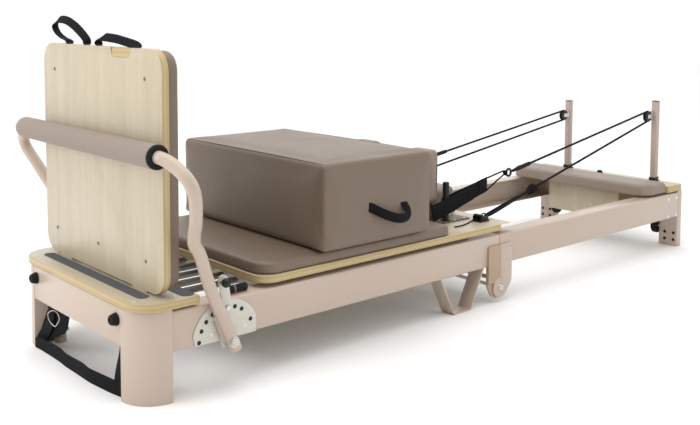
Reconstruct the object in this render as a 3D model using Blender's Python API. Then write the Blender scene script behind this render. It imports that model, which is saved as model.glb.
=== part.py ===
"""Folding exercise reformer: two-part rail frame, sprung carriage, footbar, jump board and box.

Lengths are metres. All the sub-parts are described in one frame whose x is 0 at the outer
face of the foot beam, y is 0 on the centre line and z is 0 on the floor; the root empty
moves that frame so that the whole object stands over the world origin.
"""

import math

import bmesh
import bpy
from mathutils import Matrix, Vector

# Driving dimensions of the frame
X_MIDDLE = 1.186
HALF_WIDTH = 0.327
RAIL_BOTTOM = 0.119
RAIL_TOP = 0.216
RAIL_WALL = 0.003
FLANGE = 0.058
FOOT_RAIL_START = 0.089
HINGE_X = 1.274
SEAM = HINGE_X + 0.0005
FRAME_END = 2.39
HEAD_RAIL_END = FRAME_END - 0.030
BEAM_TOP = 0.2222
PLY = 0.018
GAP = 0.0003

# Hinge and fold
HINGE_Z = 0.048
HINGE_DISC = 0.033
LEAF = 0.006
AXLE_RADIUS = 0.0065

# Foot end
COLUMN_DEPTH = 0.0885
COLUMN_INNER = HALF_WIDTH - 0.084
COLUMN_OUTER = HALF_WIDTH + 0.003
PLATFORM_DEPTH = 0.163
PLATFORM_HALF = HALF_WIDTH + 0.005
PLATFORM_BOTTOM = 0.2228
PLATFORM_TOP = 0.2425
STRAP_EDGE = 0.0025

# Footbar
PIVOT_X = 0.238
PIVOT_Z = 0.120
LOCK_RING = 0.079
LOCK_HOLE = 0.0046
LOCK_ANGLES = (175, 155, 137.6, 120.4, 91.9, 71.8, 55.7, 25.9)
PIN_ANGLE = 91.9
ARM_Y = HALF_WIDTH + 0.0237
TUBE_RADIUS = 0.0155
ROLLER_X = 0.0345
ROLLER_Z = 0.588
ROLLER_RADIUS = 0.0285
ROLLER_HALF = HALF_WIDTH + 0.0375

# Jump board
JUMP_X = 0.0745
JUMP_HALF = HALF_WIDTH - 0.010
JUMP_BOTTOM = 0.248
JUMP_TOP = 0.825
TONGUE_Y = COLUMN_INNER - 0.043
TONGUE_WIDTH = 0.05

# Springs
SPRING_Y = (-0.13, -0.065, 0.0, 0.065, 0.13)
SPRING_Z = 0.190
SPRING_START = 0.1998
SPRING_END = 0.4192
SPRING_CURLS = 11
SPRING_RADIUS = 0.009
SPRING_WIRE = 0.001
SPRING_TAIL = 0.010

# Carriage
BOARD_START = 0.349
BOARD_END = 1.332
BOARD_BOTTOM = 0.228
BOARD_TOP = 0.247
WHEEL_RADIUS = 0.028
WHEEL_HALF = 0.011
WHEEL_Y = HALF_WIDTH - 0.029
WHEEL_X = (0.42, 1.18)
WHEEL_Z = RAIL_BOTTOM + RAIL_WALL + WHEEL_RADIUS + GAP

# Head end
PLATFORM_START = FRAME_END - 0.104
HEAD_PLATFORM_BOTTOM = 0.222
HEAD_PLATFORM_TOP = HEAD_PLATFORM_BOTTOM + 0.025
POST_X = FRAME_END - 0.026
POST_Y = {"near": 0.218, "far": 0.190}
POST_SIDE = 0.023
POST_TOP = {"near": 0.565, "far": 0.537}
SHEAVE_X = POST_X - 0.049
SHEAVE_DROP = 0.058
SHEAVE_RADIUS = 0.021
ROPE_ORBIT = 0.0192
SWIVEL_X = POST_X - 0.0165
ROPE_RADIUS = 0.004
TRANSPORT_X = HEAD_RAIL_END
TRANSPORT_Y = HALF_WIDTH - 0.089
TRANSPORT_Z = 0.072
TRANSPORT_RADIUS = 0.03

# Colours as linear red, green, blue
CREAM = (0.66, 0.55, 0.46)
PLYWOOD = (0.74, 0.61, 0.41)
TAUPE = (0.20, 0.145, 0.105)
FOAM_GREY = (0.42, 0.36, 0.31)
BLACK = (0.012, 0.012, 0.014)
GREY = (0.56, 0.55, 0.50)
STEEL = (0.50, 0.50, 0.50)

for leftover in list(bpy.data.objects):
    bpy.data.objects.remove(leftover)

parts = bpy.data.collections.new("folding_reformer")
cutters = bpy.data.collections.new("cutters")
bpy.context.scene.collection.children.link(parts)
bpy.context.scene.collection.children.link(cutters)
cutters.hide_render = True


def material(name, colour, roughness, metallic=0.0):
    made = bpy.data.materials.new(name)
    made.use_nodes = True
    shader = made.node_tree.nodes["Principled BSDF"]
    shader.inputs["Base Color"].default_value = (*colour, 1.0)
    shader.inputs["Roughness"].default_value = roughness
    shader.inputs["Metallic"].default_value = metallic
    return made


PAINT = ("painted steel", CREAM, 0.45, 0.0)
WOOD = ("birch plywood", PLYWOOD, 0.5, 0.0)
HIDE = ("leatherette", TAUPE, 0.55, 0.0)
RUBBER = ("black rubber", BLACK, 0.7, 0.0)
FOAM = ("taupe foam", FOAM_GREY, 0.8, 0.0)
PLASTIC = ("black plastic", BLACK, 0.45, 0.0)
WEBBING = ("black webbing", BLACK, 0.85, 0.0)
PLATE = ("light grey steel", GREY, 0.5, 0.2)
BARE = ("grey steel", STEEL, 0.35, 1.0)


# Shapes, all returned as meshes in the common frame
def finish(form):
    bmesh.ops.recalc_face_normals(form, faces=form.faces)
    if form.calc_volume(signed=True) < 0:
        bmesh.ops.reverse_faces(form, faces=form.faces)
    mesh = bpy.data.meshes.new("shape")
    form.to_mesh(mesh)
    form.free()
    return mesh


def block(x, y, z, bevel=0.0, segments=2):
    """Box between the two values given for each axis."""
    size = [max(pair) - min(pair) for pair in (x, y, z)]
    middle = [(pair[0] + pair[1]) / 2 for pair in (x, y, z)]
    form = bmesh.new()
    bmesh.ops.create_cube(form, size=1.0)
    bmesh.ops.scale(form, vec=size, verts=form.verts)
    if bevel:
        bmesh.ops.bevel(form, geom=form.edges[:], offset=bevel, segments=segments,
                        profile=0.5, affect="EDGES")
    bmesh.ops.translate(form, vec=middle, verts=form.verts)
    return finish(form)


def rod(start, end, radius, sides=16, end_radius=None):
    """Closed cylinder or cone between two points."""
    start, end = Vector(start), Vector(end)
    form = bmesh.new()
    bmesh.ops.create_cone(form, cap_ends=True, segments=sides, radius1=radius,
                          radius2=radius if end_radius is None else end_radius,
                          depth=(end - start).length)
    turn = (end - start).to_track_quat("Z", "Y").to_matrix().to_4x4()
    form.transform(Matrix.Translation((start + end) / 2) @ turn)
    return finish(form)


def turned(profile, centre, sides=28):
    """Solid of revolution about a Y axis through the centre, from a closed (radius, y) outline."""
    form = bmesh.new()
    verts = [form.verts.new((radius, along, 0)) for radius, along in profile]
    edges = [form.edges.new((verts[k - 1], verts[k])) for k in range(len(verts))]
    bmesh.ops.spin(form, geom=verts + edges, cent=(0, 0, 0), axis=(0, 1, 0),
                   angle=2 * math.pi, steps=sides, use_merge=True)
    bmesh.ops.translate(form, vec=centre, verts=form.verts)
    return finish(form)


def ball(centre, radius, sides=14):
    form = bmesh.new()
    bmesh.ops.create_uvsphere(form, u_segments=sides, v_segments=sides // 2 + 1, radius=radius)
    bmesh.ops.translate(form, vec=centre, verts=form.verts)
    return finish(form)


def group(*meshes):
    """Several shapes that stand clear of each other, taken as one."""
    form = bmesh.new()
    for mesh in meshes:
        form.from_mesh(mesh)
    return finish(form)


def rounded(corners, steps=4):
    """Outline through (u, v, radius) corners, each radius drawn as an arc."""
    outline = []
    count = len(corners)
    for index, (u, v, radius) in enumerate(corners):
        here = Vector((u, v))
        if radius == 0:
            outline.append(here)
            continue
        before = (Vector(corners[index - 1][:2]) - here).normalized()
        after = (Vector(corners[(index + 1) % count][:2]) - here).normalized()
        half = before.angle(after) / 2
        reach = radius / math.tan(half)
        centre = here + (before + after).normalized() * (radius / math.sin(half))
        first = here + before * reach - centre
        last = here + after * reach - centre
        sweep = first.angle_signed(last)
        for step in range(steps + 1):
            arm = first.copy()
            arm.rotate(Matrix.Rotation(-sweep * step / steps, 2))
            outline.append(centre + arm)
    return outline


def circle(u, v, radius, sides=10):
    turn = 2 * math.pi / sides
    return [Vector((u + radius * math.cos(turn * k), v + radius * math.sin(turn * k)))
            for k in range(sides)]


# Each plane as the axes that carry u, v and the thickness
PLANES = {
    "XY": Matrix(((1, 0, 0), (0, 1, 0), (0, 0, 1))),
    "XZ": Matrix(((1, 0, 0), (0, 0, 1), (0, 1, 0))),
    "YZ": Matrix(((0, 0, 1), (1, 0, 0), (0, 1, 0))),
}


def plate(plane, outline, low, high, holes=()):
    """Flat piece with the outline in the given plane, from low to high across it."""
    curve = bpy.data.curves.new("outline", "CURVE")
    curve.dimensions = "2D"
    curve.fill_mode = "BOTH"
    curve.extrude = abs(high - low) / 2
    for ring in (outline, *holes):
        spline = curve.splines.new("POLY")
        spline.points.add(len(ring) - 1)
        for point, (u, v) in zip(spline.points, ring):
            point.co = (u, v, 0, 1)
        spline.use_cyclic_u = True
    holder = bpy.data.objects.new("outline", curve)
    mesh = bpy.data.meshes.new_from_object(holder)
    bpy.data.objects.remove(holder)
    form = bmesh.new()
    form.from_mesh(mesh)
    bmesh.ops.remove_doubles(form, verts=form.verts, dist=1e-6)
    bmesh.ops.translate(form, vec=(0, 0, (low + high) / 2), verts=form.verts)
    form.transform(PLANES[plane].to_4x4())
    return finish(form)


def pipe(points, radius, resolution=3, closed=False, scales=None):
    """Round tube along the points; scales widens it point by point."""
    curve = bpy.data.curves.new("route", "CURVE")
    curve.dimensions = "3D"
    curve.bevel_depth = radius
    curve.bevel_resolution = resolution
    curve.use_fill_caps = True
    spline = curve.splines.new("POLY")
    spline.points.add(len(points) - 1)
    for index, point in enumerate(points):
        spline.points[index].co = (*point, 1)
        spline.points[index].radius = scales[index] if scales else 1.0
    spline.use_cyclic_u = closed
    holder = bpy.data.objects.new("route", curve)
    mesh = bpy.data.meshes.new_from_object(holder)
    bpy.data.objects.remove(holder)
    form = bmesh.new()
    form.from_mesh(mesh)
    bmesh.ops.remove_doubles(form, verts=form.verts, dist=1e-6)
    return finish(form)


def smooth_route(points, steps):
    """Points of a curve that passes through all the given ones."""
    points = [Vector(point) for point in points]
    padded = [points[0] * 2 - points[1], *points, points[-1] * 2 - points[-2]]
    route = []
    for a, b, c, d in zip(padded, padded[1:], padded[2:], padded[3:]):
        for step in range(steps):
            t = step / steps
            route.append(0.5 * ((2 * b) + (c - a) * t + (2 * a - 5 * b + 4 * c - d) * t ** 2
                                + (3 * b - a - 3 * c + d) * t ** 3))
    route.append(points[-1])
    return route


def cushion(x, y, z, roll, corner=0.0, crown=0.0, cells=4):
    """Upholstered block: rolled edges, rounded plan corners, top that swells by the crown."""
    half = [(max(pair) - min(pair)) / 2 for pair in (x, y, z)]
    middle = Vector([(pair[0] + pair[1]) / 2 for pair in (x, y, z)])
    form = bmesh.new()
    bmesh.ops.create_cube(form, size=2.0)
    bmesh.ops.subdivide_edges(form, edges=form.edges[:], cuts=cells + 3, use_grid_fill=True)
    lines = cells + 4
    for vert in form.verts:
        flat = Vector()
        inner = Vector()
        for axis in range(3):
            line = round((vert.co[axis] + 1) / 2 * lines)
            reach = half[axis] - roll
            if line <= 1:
                flat[axis] = -half[axis] + 0.4 * roll * line
            elif line >= lines - 1:
                flat[axis] = half[axis] - 0.4 * roll * (lines - line)
            else:
                flat[axis] = reach * (2 * (line - 2) / (lines - 4) - 1)
            inner[axis] = max(-reach, min(reach, flat[axis]))
        out = flat - inner
        if out.length > 1e-9:
            flat = inner + out.normalized() * roll * max(abs(value) for value in out) / roll
        vert.co = flat
    for vert in form.verts:
        u = vert.co.x / half[0]
        v = vert.co.y / half[1]
        dip = crown * (1 - (1 - abs(u) ** 3) * (1 - abs(v) ** 3))
        if vert.co.z > 0:
            vert.co.z -= dip
        if corner:
            over = Vector((max(0, abs(vert.co.x) - half[0] + corner),
                           max(0, abs(vert.co.y) - half[1] + corner)))
            if over.length > 1e-9:
                drawn = over * (max(over) / over.length)
                vert.co.x = math.copysign(abs(vert.co.x) - over.x + drawn.x, vert.co.x)
                vert.co.y = math.copysign(abs(vert.co.y) - over.y + drawn.y, vert.co.y)
    bmesh.ops.translate(form, vec=middle, verts=form.verts)
    return finish(form)


# Placing the shapes
def anchor(name, position, parent=None):
    """Empty on a joint axis, given in the common frame."""
    empty = bpy.data.objects.new(name, None)
    parts.objects.link(empty)
    empty.parent = parent
    empty["at"] = position
    base = Vector(parent["at"]) if parent else Vector((0, 0, 0))
    empty.location = Vector(position) - base
    return empty


def piece(name, look, parent, shape, add=(), cut=(), origin=None):
    """One sub-part: a shape with others joined to it and cut out of it by Booleans."""
    at = Vector(origin if origin else parent["at"])
    body = bpy.data.objects.new(name, shape)
    parts.objects.link(body)
    body.parent = parent
    body.location = at - Vector(parent["at"])
    shape.name = name
    shape.transform(Matrix.Translation(-at))
    shape.materials.append(looks[look[0]])
    for operation, tools in (("UNION", add), ("DIFFERENCE", cut)):
        for tool in tools:
            tool.transform(Matrix.Translation(-at))
            holder = bpy.data.objects.new(name + "_" + operation.lower(), tool)
            holder.display_type = "WIRE"
            holder.hide_render = True
            holder.parent = parent
            holder.location = body.location
            cutters.objects.link(holder)
            modifier = body.modifiers.new(operation.lower(), "BOOLEAN")
            modifier.operation = operation
            modifier.solver = "EXACT"
            modifier.object = holder
    return body


def ring_point(degrees):
    """Point of the footbar's ring of locking holes, in the XZ plane."""
    turn = math.radians(degrees)
    return (PIVOT_X + LOCK_RING * math.cos(turn), PIVOT_Z + LOCK_RING * math.sin(turn))


looks = {look[0]: material(*look)
         for look in (PAINT, WOOD, HIDE, RUBBER, FOAM, PLASTIC, WEBBING, PLATE, BARE)}

root = bpy.data.objects.new("folding_reformer_root", None)
parts.objects.link(root)
root["at"] = (0.0, 0.0, 0.0)
root.location = (-X_MIDDLE, 0, 0)

fold = anchor("fold_axis", (HINGE_X, 0, HINGE_Z), root)
carriage = anchor("carriage_origin", ((BOARD_START + BOARD_END) / 2, 0, BOARD_BOTTOM), root)
footbar = anchor("footbar_axis", (PIVOT_X, 0, PIVOT_Z), root)
jump = anchor("jump_board_origin", (JUMP_X + PLY / 2, 0, JUMP_BOTTOM), root)

SIDES = (("near", -1), ("far", 1))


def channel(side):
    """Inward-opening C section of a side rail, in the YZ plane."""
    outer, inner = HALF_WIDTH, HALF_WIDTH - FLANGE
    web = HALF_WIDTH - RAIL_WALL
    return rounded([
        (side * inner, RAIL_BOTTOM, 0), (side * outer, RAIL_BOTTOM, 0.006),
        (side * outer, RAIL_TOP, 0.006), (side * inner, RAIL_TOP, 0),
        (side * inner, RAIL_TOP - RAIL_WALL, 0), (side * web, RAIL_TOP - RAIL_WALL, 0.003),
        (side * web, RAIL_BOTTOM + RAIL_WALL, 0.003), (side * inner, RAIL_BOTTOM + RAIL_WALL, 0),
    ], 3)


# Foot half: rails with the V-shaped middle legs
LEG_TOP = RAIL_BOTTOM + 0.0015
LEG_ARMS = (SEAM - 0.2695, SEAM - 0.0725)
LEG_FEET = (LEG_ARMS[0] + 0.060, LEG_ARMS[1] - 0.060)
LEG_THICK = 0.004
LEG_SLANT = 0.0045

for side_name, side in SIDES:
    rail = plate("YZ", channel(side), FOOT_RAIL_START, SEAM - 0.001)
    middle_leg = plate("XZ", rounded([
        (LEG_ARMS[0], LEG_TOP, 0), (LEG_FEET[0], 0, 0.014),
        (LEG_FEET[1], 0, 0.014), (LEG_ARMS[1], LEG_TOP, 0),
        (LEG_ARMS[1] - LEG_SLANT, LEG_TOP, 0), (LEG_FEET[1] - 0.002, LEG_THICK, 0.010),
        (LEG_FEET[0] + 0.002, LEG_THICK, 0.010), (LEG_ARMS[0] + LEG_SLANT, LEG_TOP, 0),
    ], 3), side * (HALF_WIDTH - 0.051), side * (HALF_WIDTH - 0.0004))
    piece("foot_rail_" + side_name, PAINT, root, rail, add=[middle_leg])

# Corner columns: quarter-round outside, hollow, each with a levelling foot inside
COLUMN_WALL = 0.003
FOOT_AT = (0.075, COLUMN_INNER - 0.013)

for side_name, side in SIDES:
    def column_outline(wall, radius):
        return rounded([
            (wall, side * (COLUMN_INNER + wall), 0),
            (wall, side * (COLUMN_OUTER - wall), radius),
            (COLUMN_DEPTH - wall, side * (COLUMN_OUTER - wall), 0),
            (COLUMN_DEPTH - wall, side * (COLUMN_INNER + wall), 0),
        ], 8)

    shell = plate("XY", column_outline(0, 0.085), 0, BEAM_TOP)
    hollow = plate("XY", column_outline(COLUMN_WALL, 0.081), -0.02, BEAM_TOP - COLUMN_WALL)
    foot_x, foot_y = FOOT_AT
    bracket = block((foot_x - 0.013, foot_x + 0.013),
                    (side * (foot_y - 0.011), side * (COLUMN_INNER + 0.0015)), (0.030, 0.038))
    foot = rod((foot_x, side * foot_y, 0), (foot_x, side * foot_y, 0.034), 0.009, 14)
    piece("column_" + side_name, PAINT, root, shell, cut=[hollow], add=[bracket, foot])

# Foot beam with two bumpers
BEAM_DEPTH = 0.040
BEAM_BOTTOM = 0.133
BUMPER_Y = COLUMN_INNER - 0.018
BUMPER_Z = 0.193
BUMPER_LENGTH = 0.018

beam_end = COLUMN_INNER - GAP
beam = plate("XZ", rounded([
    (BEAM_DEPTH, BEAM_BOTTOM, 0), (GAP, BEAM_BOTTOM, 0), (GAP, BEAM_TOP, 0),
    (BEAM_DEPTH, BEAM_TOP, 0), (BEAM_DEPTH, BEAM_TOP - 0.003, 0),
    (GAP + 0.003, BEAM_TOP - 0.003, 0), (GAP + 0.003, BEAM_BOTTOM + 0.003, 0),
    (BEAM_DEPTH, BEAM_BOTTOM + 0.003, 0),
]), -beam_end, beam_end)
bumpers = group(*(rod((0.002, side * BUMPER_Y, BUMPER_Z),
                      (-BUMPER_LENGTH, side * BUMPER_Y, BUMPER_Z), 0.0155, 16, 0.011)
                  for _, side in SIDES))
piece("foot_beam", PAINT, root, beam, add=[bumpers])

# Foot platform, slotted for the jump board's tongues
platform = plate("XY", rounded([
    (0, -PLATFORM_HALF, 0.07), (PLATFORM_DEPTH, -PLATFORM_HALF, 0.004),
    (PLATFORM_DEPTH, PLATFORM_HALF, 0.004), (0, PLATFORM_HALF, 0.07),
], 7), PLATFORM_BOTTOM, PLATFORM_TOP)
SLOT_GAP = 0.0005
slots = group(*(block((JUMP_X - SLOT_GAP, JUMP_X + PLY + SLOT_GAP),
                      (side * TONGUE_Y - TONGUE_WIDTH / 2 - SLOT_GAP,
                       side * TONGUE_Y + TONGUE_WIDTH / 2 + SLOT_GAP),
                      (PLATFORM_BOTTOM - 0.01, PLATFORM_TOP + 0.01)) for _, side in SIDES))
piece("foot_platform", WOOD, root, platform, cut=[slots])

# Hinge: leaves outside the rails, ears and a stop bar below them, one axle through both sides
LEAF_TOP = 0.185
LEAF_START = HINGE_X - 0.057
LEAF_END = HINGE_X + 0.055
LEAF_INNER = HALF_WIDTH + GAP
LEAF_OUTER = LEAF_INNER + LEAF
EAR_TOP = RAIL_BOTTOM - 0.0005
EAR_END = HINGE_X + 0.032
STOP_BAR = (HINGE_X - 0.039, HINGE_Z + 0.037)


def disc(radius, sides=24):
    return circle(HINGE_X, HINGE_Z, radius, sides)


ears = []
for _, side in SIDES:
    leaf = plate("XZ", rounded([
        (LEAF_START, LEAF_TOP, 0.004), (LEAF_START, 0.066, 0.004),
        (SEAM - 0.001, 0.066, 0), (SEAM - 0.001, LEAF_TOP, 0),
    ]), side * LEAF_INNER, side * LEAF_OUTER)
    ear = plate("XZ", rounded([
        (LEAF_START, EAR_TOP, 0), (HINGE_X - 0.006, EAR_TOP, 0), (EAR_END, 0.075, 0.02),
        (EAR_END, 0.014, 0.03), (HINGE_X - 0.034, 0.014, 0.04), (LEAF_START, 0.062, 0.02),
    ], 5), side * (LEAF_INNER - LEAF), side * LEAF_INNER)
    tie = block((LEAF_START + 0.002, LEAF_START + 0.021),
                (side * (LEAF_INNER - 0.003), side * (LEAF_INNER + 0.003)), (0.072, 0.116))
    ears.append((leaf, ear, tie))
stop_bar = rod((STOP_BAR[0], -LEAF_INNER + 0.002, STOP_BAR[1]),
               (STOP_BAR[0], LEAF_INNER - 0.002, STOP_BAR[1]), 0.0065, 14)
disc_space = group(*(plate("XZ", disc(HINGE_DISC + 0.0005), side * (LEAF_INNER + 0.00005),
                           side * (LEAF_OUTER + 0.002)) for _, side in SIDES))
axle_reach = LEAF_OUTER + 0.05
axle_space = rod((HINGE_X, -axle_reach, HINGE_Z), (HINGE_X, axle_reach, HINGE_Z),
                 AXLE_RADIUS + GAP, 16)
piece("hinge_yoke", PAINT, root, stop_bar,
      add=[shape for trio in ears for shape in (trio[1], trio[2], trio[0])],
      cut=[disc_space, axle_space], origin=(HINGE_X, 0, HINGE_Z))

axle_end = LEAF_OUTER + GAP
piece("hinge_axle", BARE, root,
      rod((HINGE_X, -axle_end - 0.001, HINGE_Z), (HINGE_X, axle_end + 0.001, HINGE_Z),
          AXLE_RADIUS, 16),
      add=[group(*(rod((HINGE_X, side * axle_end, HINGE_Z),
                       (HINGE_X, side * (axle_end + 0.004), HINGE_Z), 0.0115, 18, 0.0095)
                   for _, side in SIDES))],
      origin=(HINGE_X, 0, HINGE_Z))

# Sector plates with the ring of locking holes and the footbar's pivot bolt
SECTOR_INNER = HALF_WIDTH + GAP
SECTOR_OUTER = SECTOR_INNER + 0.0035
SECTOR_RADIUS = 0.098
SECTOR_END = PIVOT_X + 0.088
SECTOR_START = PIVOT_X - 0.089
SECTOR_FLOOR = 0.1195
BOLT_RADIUS = 0.006
BOLT_END = ARM_Y + 0.0223

for side_name, side in SIDES:
    first = math.acos((SECTOR_END - PIVOT_X) / SECTOR_RADIUS)
    arc = [(PIVOT_X + SECTOR_RADIUS * math.cos(first + (math.radians(166) - first) * k / 20),
            PIVOT_Z + SECTOR_RADIUS * math.sin(first + (math.radians(166) - first) * k / 20))
           for k in range(21)]
    outline = [(SECTOR_END, SECTOR_FLOOR), *arc, (SECTOR_START, SECTOR_FLOOR)]
    holes = [circle(*ring_point(angle), LOCK_HOLE) for angle in LOCK_ANGLES]
    sector = plate("XZ", outline, side * SECTOR_INNER, side * SECTOR_OUTER, holes)
    bolt = rod((PIVOT_X, side * (SECTOR_INNER + 0.001), PIVOT_Z),
               (PIVOT_X, side * (BOLT_END - 0.004), PIVOT_Z), BOLT_RADIUS, 14)
    bolt_head = rod((PIVOT_X, side * (BOLT_END - 0.006), PIVOT_Z),
                    (PIVOT_X, side * BOLT_END, PIVOT_Z), 0.0105, 6)
    piece("sector_plate_" + side_name, PLATE, root, sector, add=[bolt, bolt_head],
          origin=(PIVOT_X, 0, PIVOT_Z))

# Spring bar between the rail webs, with a stub for each spring
bar_y = HALF_WIDTH - RAIL_WALL - GAP
bar_end = SPRING_START - 0.0078
bar = block((bar_end - 0.006, bar_end), (-bar_y, bar_y), (SPRING_Z - 0.018, SPRING_Z + 0.018))
stubs = group(*(rod((bar_end - 0.002, y, SPRING_Z), (SPRING_START - GAP, y, SPRING_Z), 0.004, 10)
                for y in SPRING_Y))
piece("spring_bar", PLASTIC, root, bar, add=[stubs])


# Extension springs: straight tails, open coil between, one unbroken wire
def spring(y):
    length = SPRING_END - SPRING_START
    steps = 8
    points = [(SPRING_START, y, SPRING_Z), (SPRING_START + SPRING_TAIL * 0.6, y, SPRING_Z)]
    coil = length - 2 * SPRING_TAIL
    total = SPRING_CURLS * steps
    for step in range(total + 1):
        share = step / total
        angle = 2 * math.pi * step / steps
        radius = SPRING_RADIUS * min(1, 0.45 + share * 8, 0.45 + (1 - share) * 8)
        points.append((SPRING_START + SPRING_TAIL + coil * share,
                       y + radius * math.sin(angle), SPRING_Z + radius * math.cos(angle)))
    points += [(SPRING_END - SPRING_TAIL * 0.6, y, SPRING_Z), (SPRING_END, y, SPRING_Z)]
    return points


for number, y in enumerate(SPRING_Y, 1):
    piece("spring_" + str(number), BARE, root, pipe(spring(y), SPRING_WIRE, 1),
          origin=(SPRING_START, y, SPRING_Z))

# Pull strap in the foot-end opening, on edge along the floor and up at both ends
STRAP_X = (0.010, 0.0135)
STRAP_Y = COLUMN_INNER - 0.0025
STRAP_TOP = BEAM_BOTTOM - 0.0003
strap = plate("YZ", rounded([
    (-STRAP_Y, STRAP_TOP, 0), (-STRAP_Y, STRAP_EDGE, 0.004), (-0.05, STRAP_EDGE, 0.25),
    (0.12, 0.010, 0.20), (STRAP_Y, 0.030, 0.020), (STRAP_Y, 0.060, 0.010),
    (STRAP_Y - 0.0605, 0.125, 0), (STRAP_Y - 0.1005, 0.125, 0),
    (STRAP_Y - 0.0555, 0.062, 0.012), (STRAP_Y - 0.1305, 0.048, 0.05),
    (-0.05, 0.040, 0.20), (0.0405 - STRAP_Y, 0.045, 0.008), (0.0185 - STRAP_Y, STRAP_TOP, 0),
], 4), *STRAP_X)
strap_tab = block(STRAP_X, (STRAP_Y - 0.0955, STRAP_Y - 0.0655), (0.120, STRAP_TOP))
piece("foot_strap", WEBBING, root, strap, add=[strap_tab])

# Head half: rails and hinge leaves on the fold axis
HEAD_RAIL_START = SEAM + 0.0015

for side_name, side in SIDES:
    rail = plate("YZ", channel(side), HEAD_RAIL_START, HEAD_RAIL_END - GAP)
    piece("head_rail_" + side_name, PAINT, fold, rail)
    leaf = plate("XZ", rounded([
        (SEAM, LEAF_TOP, 0), (LEAF_END, LEAF_TOP, 0.004), (LEAF_END, 0.062, 0.020),
        (HINGE_X + 0.024, 0.024, 0.020), (SEAM, 0.030, 0),
    ], 4), side * (LEAF_INNER + GAP), side * LEAF_OUTER)
    boss = plate("XZ", disc(HINGE_DISC), side * (LEAF_INNER + GAP), side * (LEAF_OUTER - 0.0001))
    bore = rod((HINGE_X, side * (LEAF_INNER - 0.02), HINGE_Z),
               (HINGE_X, side * (LEAF_OUTER + 0.02), HINGE_Z), AXLE_RADIUS + GAP, 16)
    piece("hinge_leaf_" + side_name, PAINT, fold, leaf, add=[boss], cut=[bore])

# Head legs: wide end column with four holes in its inner face, stub axle for the transport wheel
LEG_INNER = HALF_WIDTH - 0.078
LEG_HOLES = [(y, z) for y in (HALF_WIDTH - 0.052, HALF_WIDTH - 0.015) for z in (0.025, 0.052)]
AXLE_STUB = 0.0042

for side_name, side in SIDES:
    column = block((HEAD_RAIL_END, FRAME_END), (side * LEG_INNER, side * HALF_WIDTH),
                   (0, HEAD_PLATFORM_BOTTOM - GAP), 0.002, 1)
    holes = [rod((HEAD_RAIL_END - 0.002, side * y, z), (HEAD_RAIL_END + 0.004, side * y, z),
                 0.004, 12) for y, z in LEG_HOLES]
    stub = rod((TRANSPORT_X, side * (TRANSPORT_Y - 0.0140), TRANSPORT_Z),
               (TRANSPORT_X, side * (LEG_INNER + 0.006), TRANSPORT_Z), AXLE_STUB, 12)
    stub_head = rod((TRANSPORT_X, side * (TRANSPORT_Y - 0.0155), TRANSPORT_Z),
                    (TRANSPORT_X, side * (TRANSPORT_Y - 0.0115), TRANSPORT_Z), 0.0075, 12)
    piece("head_leg_" + side_name, PAINT, fold, column, add=[stub, stub_head], cut=holes)
    hub = AXLE_STUB + GAP
    tyre = turned([
        (hub, -0.010), (0.0130, -0.010), (0.0210, -0.007), (0.0275, -0.010),
        (TRANSPORT_RADIUS, -0.007), (TRANSPORT_RADIUS, 0.007), (0.0275, 0.010),
        (0.0210, 0.007), (0.0130, 0.010), (hub, 0.010),
    ], (TRANSPORT_X, side * TRANSPORT_Y, TRANSPORT_Z), 20)
    piece("transport_wheel_" + side_name, RUBBER, fold, tyre,
          origin=(TRANSPORT_X, side * TRANSPORT_Y, TRANSPORT_Z))

beam_end = LEG_INNER - GAP
head_top = HEAD_PLATFORM_BOTTOM - GAP
piece("head_end_beam", PAINT, fold, plate("XZ", [
    (HEAD_RAIL_END + 0.001, 0.130), (FRAME_END, 0.130), (FRAME_END, head_top),
    (HEAD_RAIL_END + 0.001, head_top), (HEAD_RAIL_END + 0.001, head_top - 0.003),
    (FRAME_END - 0.003, head_top - 0.003), (FRAME_END - 0.003, 0.133),
    (HEAD_RAIL_END + 0.001, 0.133),
], -beam_end, beam_end))

# Head platform with post sockets and the support panel below the pad
PANEL_Y = 0.165
PANEL_X = PLATFORM_START - 0.086
PANEL_BOTTOM = 0.100
RETURN_END = POST_X - 0.012
RETURN_TOP = HEAD_PLATFORM_BOTTOM + 0.004
SOCKET_HALF = 0.0175
SOCKET_TOP = HEAD_PLATFORM_TOP + 0.0145
KNOB_Z = HEAD_PLATFORM_TOP + 0.0090
PLATFORM_KNOB = (POST_X - 0.024, 0.015)
KNOB_SHOULDER = HEAD_PLATFORM_TOP + 0.007

deck = block((PLATFORM_START, FRAME_END), (-HALF_WIDTH, HALF_WIDTH),
             (HEAD_PLATFORM_BOTTOM, HEAD_PLATFORM_TOP), 0.0015, 1)
panel_top = HEAD_PLATFORM_BOTTOM - 0.0005
panel = block((PANEL_X, PANEL_X + 0.005), (-PANEL_Y, PANEL_Y), (PANEL_BOTTOM, panel_top))
returns = [plate("XZ", [(PANEL_X + 0.002, PANEL_BOTTOM), (RETURN_END, PANEL_BOTTOM),
                        (RETURN_END, RETURN_TOP), (PLATFORM_START + 0.004, RETURN_TOP),
                        (PLATFORM_START + 0.004, panel_top), (PANEL_X + 0.002, panel_top)],
                 side * (PANEL_Y - 0.005), side * (PANEL_Y - 0.0002)) for _, side in SIDES]
sockets = group(*(block((POST_X - SOCKET_HALF, POST_X + SOCKET_HALF),
                        (side * POST_Y[name] - SOCKET_HALF, side * POST_Y[name] + SOCKET_HALF),
                        (HEAD_PLATFORM_TOP - 0.002, SOCKET_TOP)) for name, side in SIDES))
post_hole = POST_SIDE / 2 + 0.0004
post_holes = group(*(block((POST_X - post_hole, POST_X + post_hole),
                           (side * POST_Y[name] - post_hole, side * POST_Y[name] + post_hole),
                           (HEAD_PLATFORM_TOP - 0.004, SOCKET_TOP + 0.04)) for name, side in SIDES))
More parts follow.
